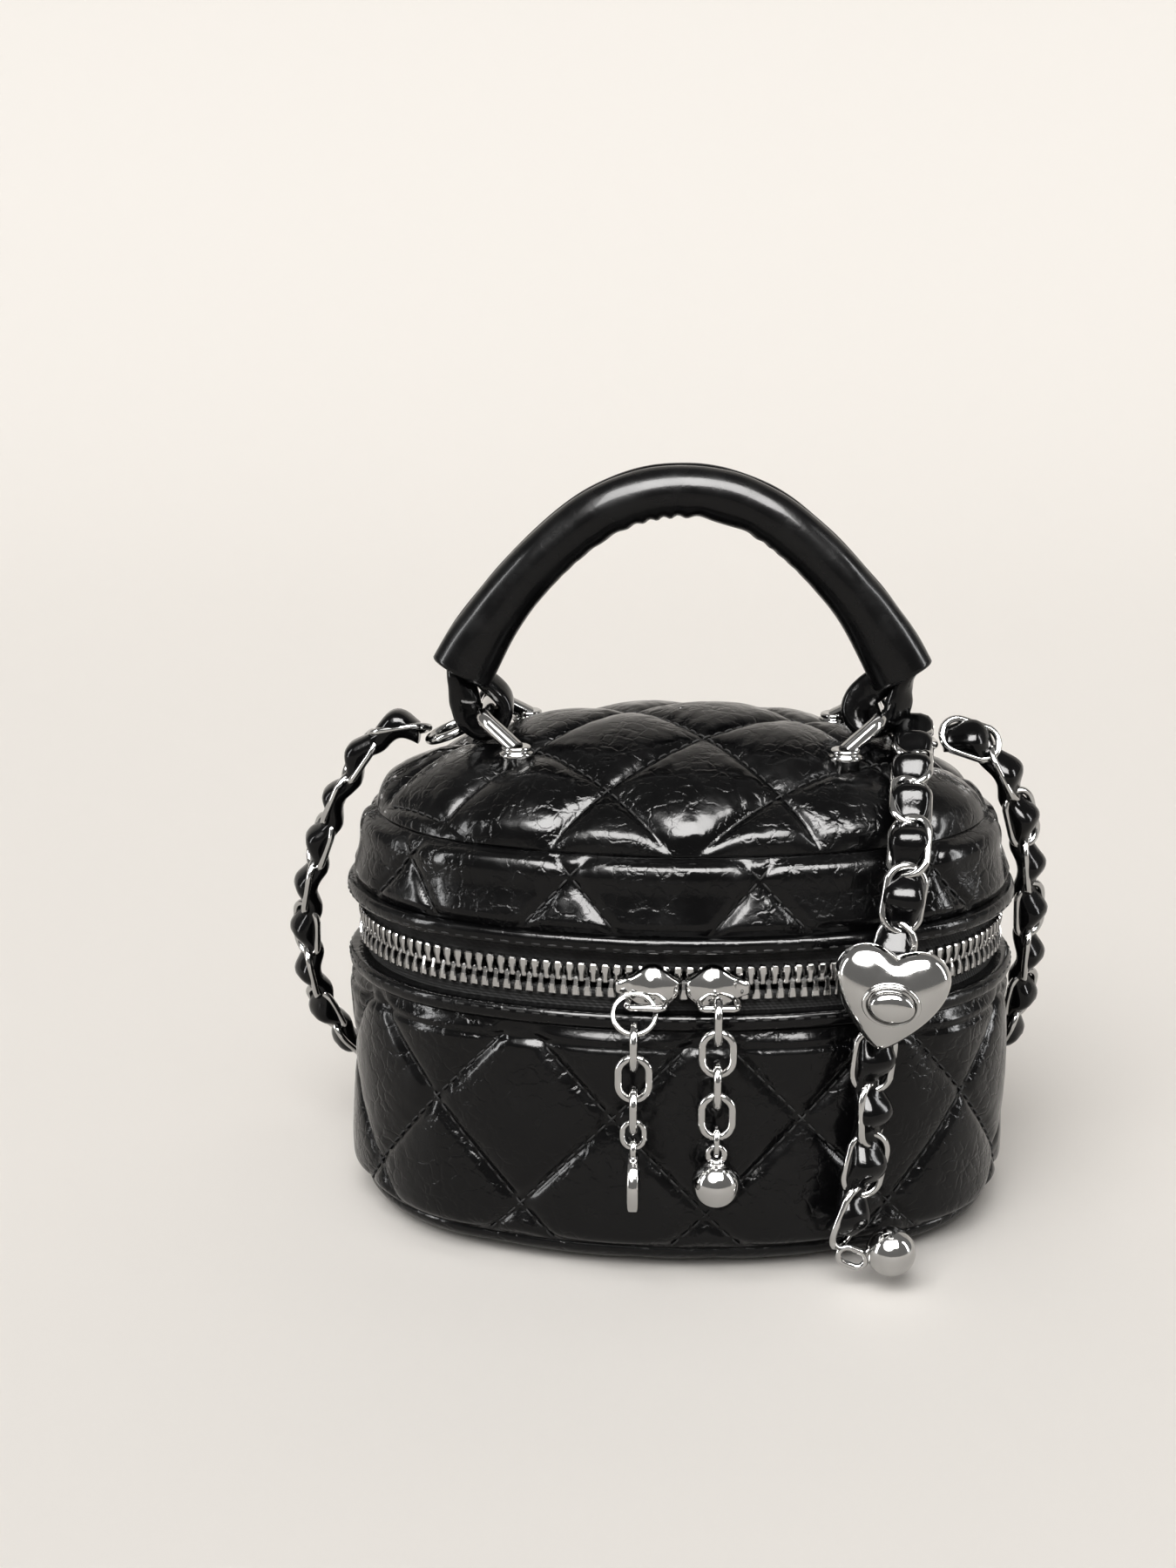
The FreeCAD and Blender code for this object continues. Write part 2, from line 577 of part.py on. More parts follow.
def make_handle():
    """Two leather lobes side by side over a cord core, with a leather loop at each end."""
    path, end = handle_path()
    leg = math.radians(size("leg_angle"))
    heading = Vector(math.cos(leg), 0, math.sin(leg))
    start = Vector(-end.x, 0, end.z)
    radius = size("grip_thick") / 2
    step = size("grip_lobe_step")
    across = Vector(-math.sin(leg), 0, math.cos(leg)) * radius
    lobes = Part.Wire(Part.__sortEdges__([
        Part.Arc(start + Vector(0, -step, 0) + across, start + Vector(0, -step - radius, 0),
                 start + Vector(0, -step, 0) - across).toShape(),
        Part.Arc(start + Vector(0, step, 0) - across, start + Vector(0, step + radius, 0),
                 start + Vector(0, step, 0) + across).toShape(),
        Part.LineSegment(start + Vector(0, -step, 0) + across, start + Vector(0, step, 0) + across).toShape(),
        Part.LineSegment(start + Vector(0, -step, 0) - across, start + Vector(0, step, 0) - across).toShape(),
    ]))
    grip = path.makePipeShell([lobes], True, True, 2)
    bores = []
    for offset in (-step, step):
        bore = Part.Wire(Part.makeCircle(size("core_radius"), start + Vector(0, offset, 0), heading))
        line = path.copy()
        line.translate(Vector(0, offset, 0))
        core = line.makePipeShell([bore], True, True, 2)
        bores.append(core)
    solid("handle_grip", grip.cut(bores))
    solid("handle_core_cords", Part.makeCompound(bores))
    for name, side in LEFT_AND_RIGHT:
        eye = Vector(side * size("bridge_x"), 0, size("bridge_top"))
        root = Vector(side * end.x, 0, end.z)
        toward = (root - eye).normalize()
        hole = size("loop_hole")
        wall = size("loop_thick")
        width = size("loop_width")
        outer = slot_prism(eye, root - toward * size("loop_overlap"), hole + wall, width)
        inner = slot_prism(eye, eye + toward * size("loop_long"), hole, 2 * width)
        loop = outer.cut([inner, grip]).cut(bores)
        pieces = sorted(loop.Solids, key=lambda piece: piece.Volume)
        solid(f"handle_loop_{name}", pieces[-1])


# --- bridges under the handle ---------------------------------------------------------------------------

def bridge_feet(side):
    """The front and the back foot of a bridge, on the floor's level."""
    x = side * size("bridge_foot_x")
    y = size("bridge_foot_y")
    return Vector(x, -y, 0), Vector(x, y, 0)


def make_screw_drill():
    """The four screw holes through the lid's top, as one tool."""
    holes = []
    for _, side in LEFT_AND_RIGHT:
        for foot in bridge_feet(side):
            hole = doc.addObject("Part::Cylinder", "screw_hole")
            bind(hole, Radius="screw_radius + gap", Height="lid_top")
            hole.Placement.Base = foot + Vector(0, 0, size("lid_seam"))
            holes.append(hole)
    drill = doc.addObject("Part::MultiFuse", "screw_drill")
    drill.Shapes = holes
    return drill


def make_bridges(dome):
    """Each bridge is a bent rod on two collars, which sit on the dome and hide the screws."""
    top = size("bridge_top")
    wire = size("bridge_wire")
    collar_low = size("lid_seam")
    collar_top = size("collar_top")
    screw_low = size("screw_low")
    screws = []
    all_collars = []
    for name, side in LEFT_AND_RIGHT:
        front, back = bridge_feet(side)
        collars = []
        for foot in (front, back):
            blank = Part.makeCylinder(size("collar_radius"), collar_top - collar_low,
                                      foot + Vector(0, 0, collar_low))
            rim = [edge for edge in blank.Edges if abs(edge.BoundBox.ZMin - collar_top) < TINY]
            collar = blank.makeFillet(size("collar_rim"), rim)
            shank = Part.makeCylinder(size("screw_radius"), collar_top - size("screw_cover") - screw_low,
                                      foot + Vector(0, 0, screw_low))
            collars.append(collar.cut([dome, shank]))
            tall = size("screw_head_tall")
            head = Part.makeCylinder(size("screw_head"), tall, foot + Vector(0, 0, screw_low - tall))
            screws.append(shank.fuse(head).removeSplitter())
        all_collars += collars
        x = side * size("bridge_x")
        y = size("bridge_bend_y")
        sunk = Vector(0, 0, collar_top - size("bridge_sink"))
        corners = [front + sunk, Vector(x, -y, top), Vector(x, y, top), back + sunk]
        path, _ = rounded_path(corners, [size("bridge_bend")] * 2)
        rod = sweep_round(path, wire).cut(collars + [dome])
        solid(f"bridge_{name}", max(rod.Solids, key=lambda piece: piece.Volume))
    solid("bridge_collars", Part.makeCompound(all_collars))
    solid("bridge_screws", Part.makeCompound(screws))


# --- strap -------------------------------------------------------------------------------------------

# how much of a route's shorter run an arc at its corner may take up
ARC_SHARE = 0.45


def rounded_path(points, radii=None):
    """Straight runs joined by tangent arcs; where no radii are given, the arcs are as large as fits."""
    edges = []
    used = []
    start = points[0]
    for index in range(1, len(points) - 1):
        corner = points[index]
        back = points[index - 1] - corner
        ahead = points[index + 1] - corner
        turn = math.pi - back.getAngle(ahead)
        if radii:
            radius = radii[index - 1]
        else:
            radius = ARC_SHARE * min(back.Length, ahead.Length) / math.tan(turn / 2)
        reach = radius * math.tan(turn / 2)
        arc_start = corner + Vector(back).normalize() * reach
        arc_end = corner + Vector(ahead).normalize() * reach
        inward = (Vector(back).normalize() + Vector(ahead).normalize()).normalize()
        middle = corner + inward * (radius / math.cos(turn / 2) - radius)
        edges.append(Part.LineSegment(start, arc_start).toShape())
        edges.append(Part.Arc(arc_start, middle, arc_end).toShape())
        start = arc_end
        used.append(round(radius, 1))
    edges.append(Part.LineSegment(start, points[-1]).toShape())
    return Part.Wire(edges), used


def cord_tube(name, points):
    """A length of strap as one plain tube; its arcs' radii and its volume are printed."""
    path, radii = rounded_path([Vector(*point) for point in points])
    tube = sweep_round(path, size("strap_radius"))
    filled = tube.Volume / (math.pi * size("strap_radius") ** 2 * path.Length)
    print(name, "length", round(path.Length, 1), "radii", radii, "volume ratio", round(filled, 4))
    return tube


LEFT_ROUTE = [
    (-52.6, 10, 91.4), (-59.8, 10.2, 91.6), (-65.6, 10.8, 84.8), (-71.2, 12, 73.6), (-75.8, 14, 61.5),
    (-78, 16.5, 48.5), (-77.6, 19.5, 36), (-74.6, 23.5, 25), (-69, 30.5, 15.5), (-62, 41, 8),
    (-54.5, 54.5, 4.2), (-45, 66.5, 3.5), (-31.5, 76.5, 3.5),
]
RIGHT_ROUTE = [
    (52.6, 10, 91.4), (59.4, 10.2, 91.2), (65.2, 10.8, 84), (69.6, 12, 72.5), (71.4, 14, 60),
    (72.3, 16.5, 48), (72.1, 19.5, 36), (70.6, 24, 25), (66.5, 31, 15.5), (60.5, 41.5, 8),
    (53.5, 54.5, 4.2), (44.5, 66.5, 3.5), (31.5, 76.5, 3.5),
]
TAIL_ROUTE = [
    (45.4, 2.6, 93.4), (44.6, -7, 94.3), (43.2, -18.5, 92.9), (42, -31, 88.7), (41, -40.6, 81.2),
    (39.7, -44.8, 71.5), (34.8, -44.8, 41.2), (35.6, -45, 30.5), (34.1, -45.9, 20), (30.6, -47, 10.5),
]


# where the hanging end bends over the lid's edge, as a share of the run between two of its route's points
TAIL_FOLD = 0.6


# from the hanging end's last point to the middle of its link and of its ball
TAIL_LINK_STEP = Vector(1.9, -0.6, -4.6)
TAIL_BALL_STEP = Vector(8.9, -1, -3.1)


def halves(tube, point, normal):
    """The tube on either side of a plane: the side that the normal leaves, then the side it points to."""
    reach = 3 * size("region_long")
    blade = Part.makeBox(reach, reach, reach, Vector(-reach / 2, -reach / 2, 0))
    blade.Placement = FreeCAD.Placement(Vector(*point), FreeCAD.Rotation(Z_AXIS, normal))
    return tube.cut(blade), tube.common(blade)


def main_strap_parts(name, route, coil):
    """The strap's upper end stays with the lid; the rest lies against the case and in the coil."""
    tube = cord_tube(f"strap_{name}", route)
    above = Vector(*route[3])
    below = Vector(*route[4])
    upper, lower = halves(tube, (above + below) / 2, below - above)
    solid(f"strap_{name}_upper", upper)
    solid(f"strap_{name}_lower", lower.cut(coil))


def make_coil():
    """The put-away length behind the case: the turns' outer shape, as a revolved section."""
    body = doc.addObject("PartDesign::Body", "strap_coil")
    sketch = plane_sketch(body, "coil_section", "XZ_Plane")
    inner = size("coil_radius") - size("coil_half")
    outer = size("coil_radius") + size("coil_half")
    tall = size("coil_tall")
    corners = [Vector(inner, 0, 0), Vector(outer, 0, 0), Vector(outer, tall, 0), Vector(inner, tall, 0)]
    for index, corner in enumerate(corners):
        sketch.addGeometry(Part.LineSegment(corner, corners[(index + 1) % 4]))
    for index in range(4):
        sketch.addConstraint(Sketcher.Constraint("Coincident", index, 2, (index + 1) % 4, 1))
        sketch.addConstraint(Sketcher.Constraint("Vertical" if index % 2 else "Horizontal", index))
    sketch.addConstraint(Sketcher.Constraint("PointOnObject", 0, 1, -1))
    for first, kind, amount, text in ((0, "DistanceX", inner, "coil_radius - coil_half"),
                                      (1, "DistanceX", outer, "coil_radius + coil_half"),
                                      (2, "DistanceY", tall, "coil_tall")):
        number = sketch.addConstraint(Sketcher.Constraint(kind, -1, 1, first, 1, amount))
        sketch.setExpression(f"Constraints[{number}]", formula(text))
    turning = body.newObject("PartDesign::Revolution", "coil_turns")
    turning.Profile = sketch
    turning.ReferenceAxis = (sketch, ["V_Axis"])
    turning.Angle = 360
    body.setExpression("Placement.Base.y", formula("coil_y"))
    return keep(body, "strap_coil")


def make_strap():
    """Both ends of the main strap, the coil between them, and the strap end that hangs in front."""
    coil = make_coil()
    doc.recompute()
    coil_shape = coil.Shape
    main_strap_parts("left", LEFT_ROUTE, coil_shape)
    main_strap_parts("right", RIGHT_ROUTE, coil_shape)
    tail = cord_tube("strap_tail", TAIL_ROUTE)
    over = Vector(*TAIL_ROUTE[3])
    under = Vector(*TAIL_ROUTE[4])
    split = over + (under - over) * TAIL_FOLD
    on_lid, hanging = halves(tail, split, under - over)
    solid("strap_tail_upper", on_lid)
    solid("strap_tail_lower", hanging)


def make_rings(keepers):
    """The ring at each end of the strap lies on the dome; a leather tab ties it to the bridge."""
    for name, side in LEFT_AND_RIGHT:
        centre = Vector(side * size("ring_x"), size("ring_y"), size("ring_height"))
        ring = Part.makeTorus(size("ring_radius"), size("ring_wire"))
        solid(f"strap_ring_{name}", placed(ring, centre, [(Y_AXIS, side * size("ring_tilt"))]))
        tilt = math.radians(size("ring_tilt"))
        wire = centre - Vector(side * math.cos(tilt), 0, -math.sin(tilt)) * size("ring_radius")
        bar = Vector(side * size("bridge_x"), size("tab_y"), size("bridge_top"))
        wire.y = size("tab_y")
        width = size("tab_width")
        hole = size("tab_hole")
        outside = slot_prism(bar, wire, hole + size("tab_thick"), width)
        inside = slot_prism(bar, wire, hole, 2 * width)
        solid(f"ring_tab_{name}", outside.cut([inside] + keepers))


# --- heart slide --------------------------------------------------------------------------------------

# the heart's proportions, as shares of half its width, and where its lobes are highest
LOBE_SHARE = 0.53
LOBE_HEIGHT = 0.48
TIP_DEPTH = 1.03
CROWN_ANGLE = 0.35


def heart_outline(shrink=0.0):
    """Two round lobes and a point, in the XZ plane about the middle."""
    half = size("heart_width") / 2 - shrink
    lobe = half * LOBE_SHARE
    centre = Vector(half - lobe, 0, half * LOBE_HEIGHT)
    tip = Vector(0, 0, -half * TIP_DEPTH)
    apart = (centre - tip).Length
    lean = math.atan2(centre.x - tip.x, centre.z - tip.z)
    direction = math.pi - math.acos(lobe / apart) + lean
    touch = centre + Vector(math.sin(direction), 0, math.cos(direction)) * lobe
    notch = Vector(0, 0, centre.z + math.sqrt(lobe ** 2 - centre.x ** 2))
    crown = centre + Vector(math.sin(CROWN_ANGLE), 0, math.cos(CROWN_ANGLE)) * lobe

    def flipped(point):
        return Vector(-point.x, point.y, point.z)

    return Part.Wire([
        Part.Arc(notch, crown, touch).toShape(),
        Part.LineSegment(touch, tip).toShape(),
        Part.LineSegment(tip, flipped(touch)).toShape(),
        Part.Arc(flipped(touch), flipped(crown), notch).toShape(),
    ])


def ellipse_prism(long_half, wide_half, start, depth):
    """An upright ellipse in the XZ plane, extruded toward the front from a start depth."""
    curve = Part.Ellipse(Vector(0, start, long_half), Vector(wide_half, start, 0), Vector(0, start, 0))
    return Part.Face(Part.Wire(curve.toShape())).extrude(Vector(0, -depth, 0))


def bore(length, start):
    """The spindle's hole, from a start depth toward the front."""
    return Part.makeCylinder(size("spindle_hole"), length, Vector(0, start, 0), -Y_AXIS)


def front_edges(shape, depth):
    """The shape's edges that lie wholly at one depth."""
    return [edge for edge in shape.Edges
            if abs(edge.BoundBox.YMin - depth) < 10 * TINY and edge.BoundBox.YLength < 10 * TINY]


def make_heart():
    """A puffed metal heart that slides on the hanging strap end, with a turning knob that locks it."""
    place = Vector(size("heart_x"), size("heart_y"), size("heart_middle"))
    turns = [(Y_AXIS, size("heart_turn"))]
    plate = size("heart_plate")
    thick = size("heart_thick")
    wall = size("heart_wall")
    gap = size("gap")
    back = Part.Face(heart_outline()).extrude(Vector(0, -plate, 0))
    solid("heart_back_plate", placed(back.cut(bore(3 * plate, plate)), place, turns))
    outside = Part.Face(heart_outline()).extrude(Vector(0, -thick, 0))
    outside = outside.makeFillet(size("heart_round"), front_edges(outside, -thick))
    hollow = Part.Face(heart_outline(wall)).extrude(Vector(0, wall - thick, 0))
    shell = outside.cut([hollow, bore(3 * thick, thick)])
    shell.translate(Vector(0, -plate - gap, 0))
    solid("heart_front_shell", placed(shell, place, turns))
    top = -plate - gap - thick
    seat = ellipse_prism(size("seat_long") / 2, size("seat_wide") / 2, top, size("seat_tall"))
    seat = seat.cut(bore(3 * size("seat_tall"), top + size("seat_tall")))
    solid("heart_collar", placed(seat, place, turns))
    top = top - size("seat_tall") - gap
    tall = size("knob_tall")
    knob = ellipse_prism(size("knob_long") / 2, size("knob_wide") / 2, top, tall)
    knob = knob.makeFillet(size("knob_round"), front_edges(knob, top - tall))
    inner_end = -2 * gap
    spindle = Part.makeCylinder(size("spindle_radius"), inner_end - top, Vector(0, inner_end, 0), -Y_AXIS)
    solid("heart_knob", placed(knob.fuse(spindle).removeSplitter(), place, turns))
    make_keeper(place, turns)


def make_keeper(place, turns):
    """A flat band behind the heart that the strap runs through."""
    wall = size("keeper_wall")
    back = size("keeper_back")
    long = size("keeper_long")
    room = size("strap_radius") + size("keeper_room")
    frame = Part.makeBox(2 * (room + wall), 2 * room + wall + back, long, Vector(-room - wall, 0, -long / 2))
    channel = Part.makeBox(2 * room, 2 * room, 2 * long, Vector(-room, back, -long))
    solid("heart_keeper", placed(frame.cut(channel), place, turns))


def make_tail_ball():
    """The ball on the strap's hanging end, on its own link."""
    strap_end = Vector(*TAIL_ROUTE[-1])
    place = strap_end + TAIL_LINK_STEP
    link = oval_link(size("tail_link_length"), size("tail_link_width"), size("tail_link_wire"))
    link = placed(link, place, [(Y_AXIS, size("tail_link_turn"))])
    solid("tail_end_link", link)
    sphere = Part.makeSphere(size("tail_ball_radius"), strap_end + TAIL_BALL_STEP)
    solid("tail_ball", sphere.cut(link))


# --- assembly -----------------------------------------------------------------------------------------

make_base()
make_lid(make_screw_drill())
make_tapes()
make_hinge_strips()
make_teeth()
make_sliders()
make_left_pull()
make_right_pull()
make_handle()
doc.recompute()
dome_shape = doc.getObject("lid_outside").Shape
make_bridges(dome_shape)
make_strap()
bridge_shapes = [thing.Shape for thing in parts if thing.Label in ("bridge_left", "bridge_right")]
make_rings(bridge_shapes + [dome_shape])
make_heart()
make_tail_ball()
doc.recompute()

broken = [thing.Label for thing in doc.Objects if "Invalid" in thing.State or "Error" in thing.State]
broken += [thing.Label for thing in parts if thing.Shape.isNull() or not thing.Shape.isValid()]
if broken:
    raise RuntimeError(f"failed objects: {broken}")

os.makedirs("parts", exist_ok=True)
for thing in parts:
    thing.Shape.exportStep(f"parts/{thing.Label}.step")
print(len(parts), "sub-parts written")
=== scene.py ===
import math

import bmesh
import bpy
import numpy as np
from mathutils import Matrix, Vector, noise


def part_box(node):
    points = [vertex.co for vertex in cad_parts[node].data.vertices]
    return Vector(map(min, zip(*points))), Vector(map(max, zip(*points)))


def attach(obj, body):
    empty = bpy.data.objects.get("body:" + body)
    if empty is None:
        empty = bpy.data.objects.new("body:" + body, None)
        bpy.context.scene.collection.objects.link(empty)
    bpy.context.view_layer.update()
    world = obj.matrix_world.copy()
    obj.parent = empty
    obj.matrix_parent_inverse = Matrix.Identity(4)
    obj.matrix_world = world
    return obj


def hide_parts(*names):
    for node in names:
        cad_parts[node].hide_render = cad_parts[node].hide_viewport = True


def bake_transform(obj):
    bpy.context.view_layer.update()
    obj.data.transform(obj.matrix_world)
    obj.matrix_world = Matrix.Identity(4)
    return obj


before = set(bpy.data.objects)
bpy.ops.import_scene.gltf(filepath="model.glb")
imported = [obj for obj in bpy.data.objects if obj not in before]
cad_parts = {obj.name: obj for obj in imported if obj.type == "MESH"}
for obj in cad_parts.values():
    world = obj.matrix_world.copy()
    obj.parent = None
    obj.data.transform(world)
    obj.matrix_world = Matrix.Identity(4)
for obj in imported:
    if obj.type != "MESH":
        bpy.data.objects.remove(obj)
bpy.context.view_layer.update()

MM = 0.001
UP = np.array([0.0, 0.0, 1.0])
FRONT = np.array([0.0, -1.0, 0.0])
RIGHT = np.array([1.0, 0.0, 0.0])
SIDES = (("left", -1), ("right", 1))

# the case outline: two wide arcs at front and back, two tight arcs at the ends
wall_low, wall_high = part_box("base_side_band")
HALF_LONG = wall_high.x
HALF_WIDE = wall_high.y
TIGHT = 40 * MM
SIDE_CENTRE = HALF_LONG - TIGHT
FRONT_CENTRE = (SIDE_CENTRE ** 2 - (HALF_WIDE - TIGHT) ** 2) / (2 * (HALF_WIDE - TIGHT))
WIDE = HALF_WIDE + FRONT_CENTRE
MEET = math.atan2(SIDE_CENTRE, FRONT_CENTRE)
QUARTER = WIDE * MEET + TIGHT * (math.pi / 2 - MEET)
PERIMETER = 4 * QUARTER

# heights
BOTTOM_SEAM = wall_low.z
BASE_TOP = wall_high.z
RIM_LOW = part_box("base_rim_binding")[1].z
RIM_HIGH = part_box("lid_rim_binding")[0].z
LID_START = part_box("lid_rim_binding")[1].z
LID_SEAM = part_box("lid_side_band")[1].z
LID_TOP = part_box("lid_top_panel")[1].z
CHAIN_MIDDLE = (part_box("zip_teeth_lower")[0].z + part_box("zip_teeth_upper")[1].z) / 2
BOTTOM_ROUND = 9 * MM
LEATHER = 2.7 * MM
LID_LEAN = math.tan(math.radians(17))
SEAM_INSET = (LID_SEAM - LID_START) * LID_LEAN
SEAM_TURN = math.asin(1 - BOTTOM_SEAM / BOTTOM_ROUND)
BASE_LOW = BOTTOM_ROUND * (1 - SEAM_TURN)

# quilting
DIAMONDS_ROUND = 10
PITCH_ROUND = PERIMETER / DIAMONDS_ROUND
PITCH_TALL = 37 * MM
QUILT_PITCH = (PITCH_ROUND, PITCH_TALL)
BASE_CROSSING = (-12 * MM, 30.6 * MM)
LID_CROSSING = (-20.4 * MM, 76 * MM)
DOME_PITCH = (33 * MM, 34 * MM)
DOME_CROSSING = (-9.7 * MM, 4 * MM)
DOME_SHEAR = 0.12
COLLAR_RADIUS = 3 * MM
QUILT_DEPTH = 0.95 * MM
QUILT_PROUD = 1.6 * MM
SEAM_SOFTENING = 0.35 * MM
SEAM_VALLEY = 1.1 * MM
PUFF_REACH = 6.5 * MM
GATHER_SIZE = 1.5 * MM
GATHER_PLACE = 2.2 * MM
GATHER_REACH = 3.2 * MM
GATHER_HEIGHT = 0.13 * MM
WARP_SIZE = 9 * MM
WARP_REACH = 3 * MM
CREASE_SIZE = 6.5 * MM
CREASE_DEPTH = 0.06 * MM
SWELL_SIZE = 14 * MM
SWELL_HEIGHT = 0.25 * MM
STITCH_PITCH = 2.7 * MM
STITCH_SHARE = 0.74
THREAD_RADIUS = 0.2 * MM
THREAD_CORNERS = 6
CELL = 0.5 * MM


# --- meshes --------------------------------------------------------------------------------------------

def cover(thing, material):
    thing.data.materials.clear()
    thing.data.materials.append(material)


def box_middle(node):
    low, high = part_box(node)
    return np.array((low + high) / 2)


def piece_of(name, points, faces, material, body=None, slot=None, replaced=(), tidy=True):
    """A smooth mesh piece that rides on a body and stands for the CAD nodes it replaces."""
    mesh = bpy.data.meshes.new(name)
    mesh.from_pydata(np.asarray(points).tolist(), [], faces)
    if tidy:
        form = bmesh.new()
        form.from_mesh(mesh)
        bmesh.ops.recalc_face_normals(form, faces=form.faces)
        form.to_mesh(mesh)
        form.free()
    mesh.materials.append(material)
    mesh.shade_smooth()
    piece = bpy.data.objects.new(name, mesh)
    bpy.context.scene.collection.objects.link(piece)
    if body:
        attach(piece, body)
    if replaced:
        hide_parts(*replaced)
    return piece


def grid_faces(rows, columns, wrap_rows=False, wrap_columns=False, first=0):
    """Quads of a grid of points stored row by row."""
    faces = []
    for row in range(rows if wrap_rows else rows - 1):
        here = first + row * columns
        ahead = first + (row + 1) % rows * columns
        for column in range(columns if wrap_columns else columns - 1):
            aside = (column + 1) % columns
            faces.append((here + column, here + aside, ahead + aside, ahead + column))
    return faces


def tube_faces(rings, corners, first=0):
    """Faces of a row of rings, closed at both ends."""
    faces = grid_faces(rings, corners, False, True, first)
    for end in (first, first + (rings - 1) * corners):
        faces.append(tuple(range(end, end + corners)))
    return faces


def lengths_along(line):
    """How far along a line each of its points is."""
    return np.concatenate([[0], np.cumsum(np.linalg.norm(np.diff(line, axis=0), axis=1))])


def joined(forms):
    """Several (points, faces) forms as one."""
    points, faces, total = [], [], 0
    for some_points, some_faces in forms:
        points.append(some_points)
        faces += [tuple(index + total for index in face) for face in some_faces]
        total += len(some_points)
    return np.vstack(points), faces


def unit(vectors):
    return vectors / np.maximum(np.linalg.norm(vectors, axis=-1, keepdims=True), 1e-12)


def rough(points, scale, seed=0.0):
    """Smooth noise at each point, with features about scale across."""
    shift = Vector((seed, -1.7 * seed, 0.6 * seed))
    return np.array([noise.noise(Vector(point) / scale + shift) for point in points])


def smooth_step(amount):
    amount = np.clip(amount, 0, 1)
    return amount * amount * (3 - 2 * amount)


def spokes(count):
    """Even angles round a full turn."""
    return np.arange(count) * 2 * math.pi / count


def ridge(distance, width):
    """A smooth rise of height one, widest at its foot."""
    return np.exp(-(distance / width) ** 2)


def flatter(lift, share):
    """Pillows of a flatter sheet: what stands proud is scaled, and the seams stay as deep."""
    return np.where(lift > 0, share * lift, lift)


# --- the case outline ----------------------------------------------------------------------------------

def outline(along, inset=0.0):
    """Points on the case's outline at arc lengths from the front centre towards +X, and outward normals."""
    along = np.asarray(along, float) % PERIMETER
    part = np.minimum((along / QUARTER).astype(int), 3)
    reach = np.where(part % 2 == 0, along - part * QUARTER, (part + 1) * QUARTER - along)
    on_wide = reach < WIDE * MEET
    angle = np.where(on_wide, reach / WIDE, MEET + (reach - WIDE * MEET) / TIGHT)
    radius = np.where(on_wide, WIDE, TIGHT) - inset
    across = np.where(on_wide, 0, SIDE_CENTRE) + radius * np.sin(angle)
    deep = np.where(on_wide, FRONT_CENTRE, 0) - radius * np.cos(angle)
    flip_across = np.where(part >= 2, -1, 1)
    flip_deep = np.where((part == 1) | (part == 2), -1, 1)
    points = np.stack([across * flip_across, deep * flip_deep], axis=-1)
    normals = np.stack([np.sin(angle) * flip_across, -np.cos(angle) * flip_deep], axis=-1)
    return points, normals


def around(spacing):
    """Arc lengths of even steps right round the case."""
    return np.arange(0, PERIMETER, PERIMETER / round(PERIMETER / spacing))


def level_ring(lengths, inset, height, scale=1.0):
    """Points of the outline at one height, moved inward and shrunk."""
    place, _ = outline(lengths, inset)
    return np.column_stack([place * scale, np.full(len(lengths), height)])


def band(name, profile, material, body, slot, replaced, spacing, crinkle=0.0):
    """A closed band round the case: profile holds (inset, height) round its section."""
    lengths = around(spacing)
    points = np.stack([level_ring(lengths, *ring) for ring in profile], axis=1).reshape(-1, 3)
    if crinkle:
        _, normals = outline(lengths)
        push = np.repeat(np.column_stack([normals, np.zeros(len(lengths))]), len(profile), axis=0)
        points = points + push * (rough(points, 3 * MM, 4.0) * crinkle)[:, None]
    faces = grid_faces(len(lengths), len(profile), True, True)
    return piece_of(name, points, faces, material, body, slot, replaced)


# --- quilted leather -----------------------------------------------------------------------------------

def seams_near(along, up, pitch, crossing):
    """Distance to the nearest seam, and the distance along it, for both families of diagonals."""
    spacing = 1 / math.hypot(1 / pitch[0], 1 / pitch[1])
    steep = math.hypot(pitch[0], pitch[1]) / 2
    across = (along - crossing[0]) / pitch[0]
    rise = (up - crossing[1]) / pitch[1]
    found = []
    for number, line, other in ((0, across + rise, across - rise), (1, across - rise, across + rise)):
        index = np.round(line)
        found.append((np.abs(line - index) * spacing, other * steep, index + 31.7 * number))
    return found


def quilted(along, up, pitch, crossing, edge):
    """Height of the leather over its sheet: pillows between seams, gathers beside them and creases."""
    height = np.ones_like(along)
    puff = np.ones_like(along)
    gather = np.zeros_like(along)
    for distance, length, index in seams_near(along, up, pitch, crossing):
        soft = np.sqrt(distance ** 2 + SEAM_SOFTENING ** 2) - SEAM_SOFTENING
        height *= 1 - np.exp(-soft / SEAM_VALLEY)
        puff *= 1 - np.exp(-(distance / PUFF_REACH) ** 1.4)
        wave = rough(np.column_stack([length / 1.5, distance / 5, index * 10 * MM]), GATHER_SIZE, 2.0)
        gather += wave * ridge(distance - GATHER_PLACE, GATHER_REACH)
    sheet = np.column_stack([along, up, np.zeros_like(along)])
    warp = np.column_stack([rough(sheet, WARP_SIZE, seed) for seed in (3.0, 5.0)])
    bent = sheet + np.column_stack([warp * WARP_REACH, np.zeros_like(along)])
    crease = 1 - np.minimum(np.abs(rough(bent, CREASE_SIZE, 7.0)) * 5, 1)
    swell = rough(sheet, SWELL_SIZE, 9.0)
    lift = -QUILT_DEPTH + QUILT_DEPTH * height + QUILT_PROUD * puff ** 0.7
    lift += edge * (gather * GATHER_HEIGHT + (swell * SWELL_HEIGHT - crease * CREASE_DEPTH) * height)
    return lift


def raised(surface, along, up, height):
    """The surface moved outward by a height at each point."""
    step = 0.2 * MM
    ahead = surface(along + step, up) - surface(along - step, up)
    above = surface(along, up + step) - surface(along, up - step)
    return surface(along, up) + unit(np.cross(ahead, above)) * np.asarray(height)[:, None]


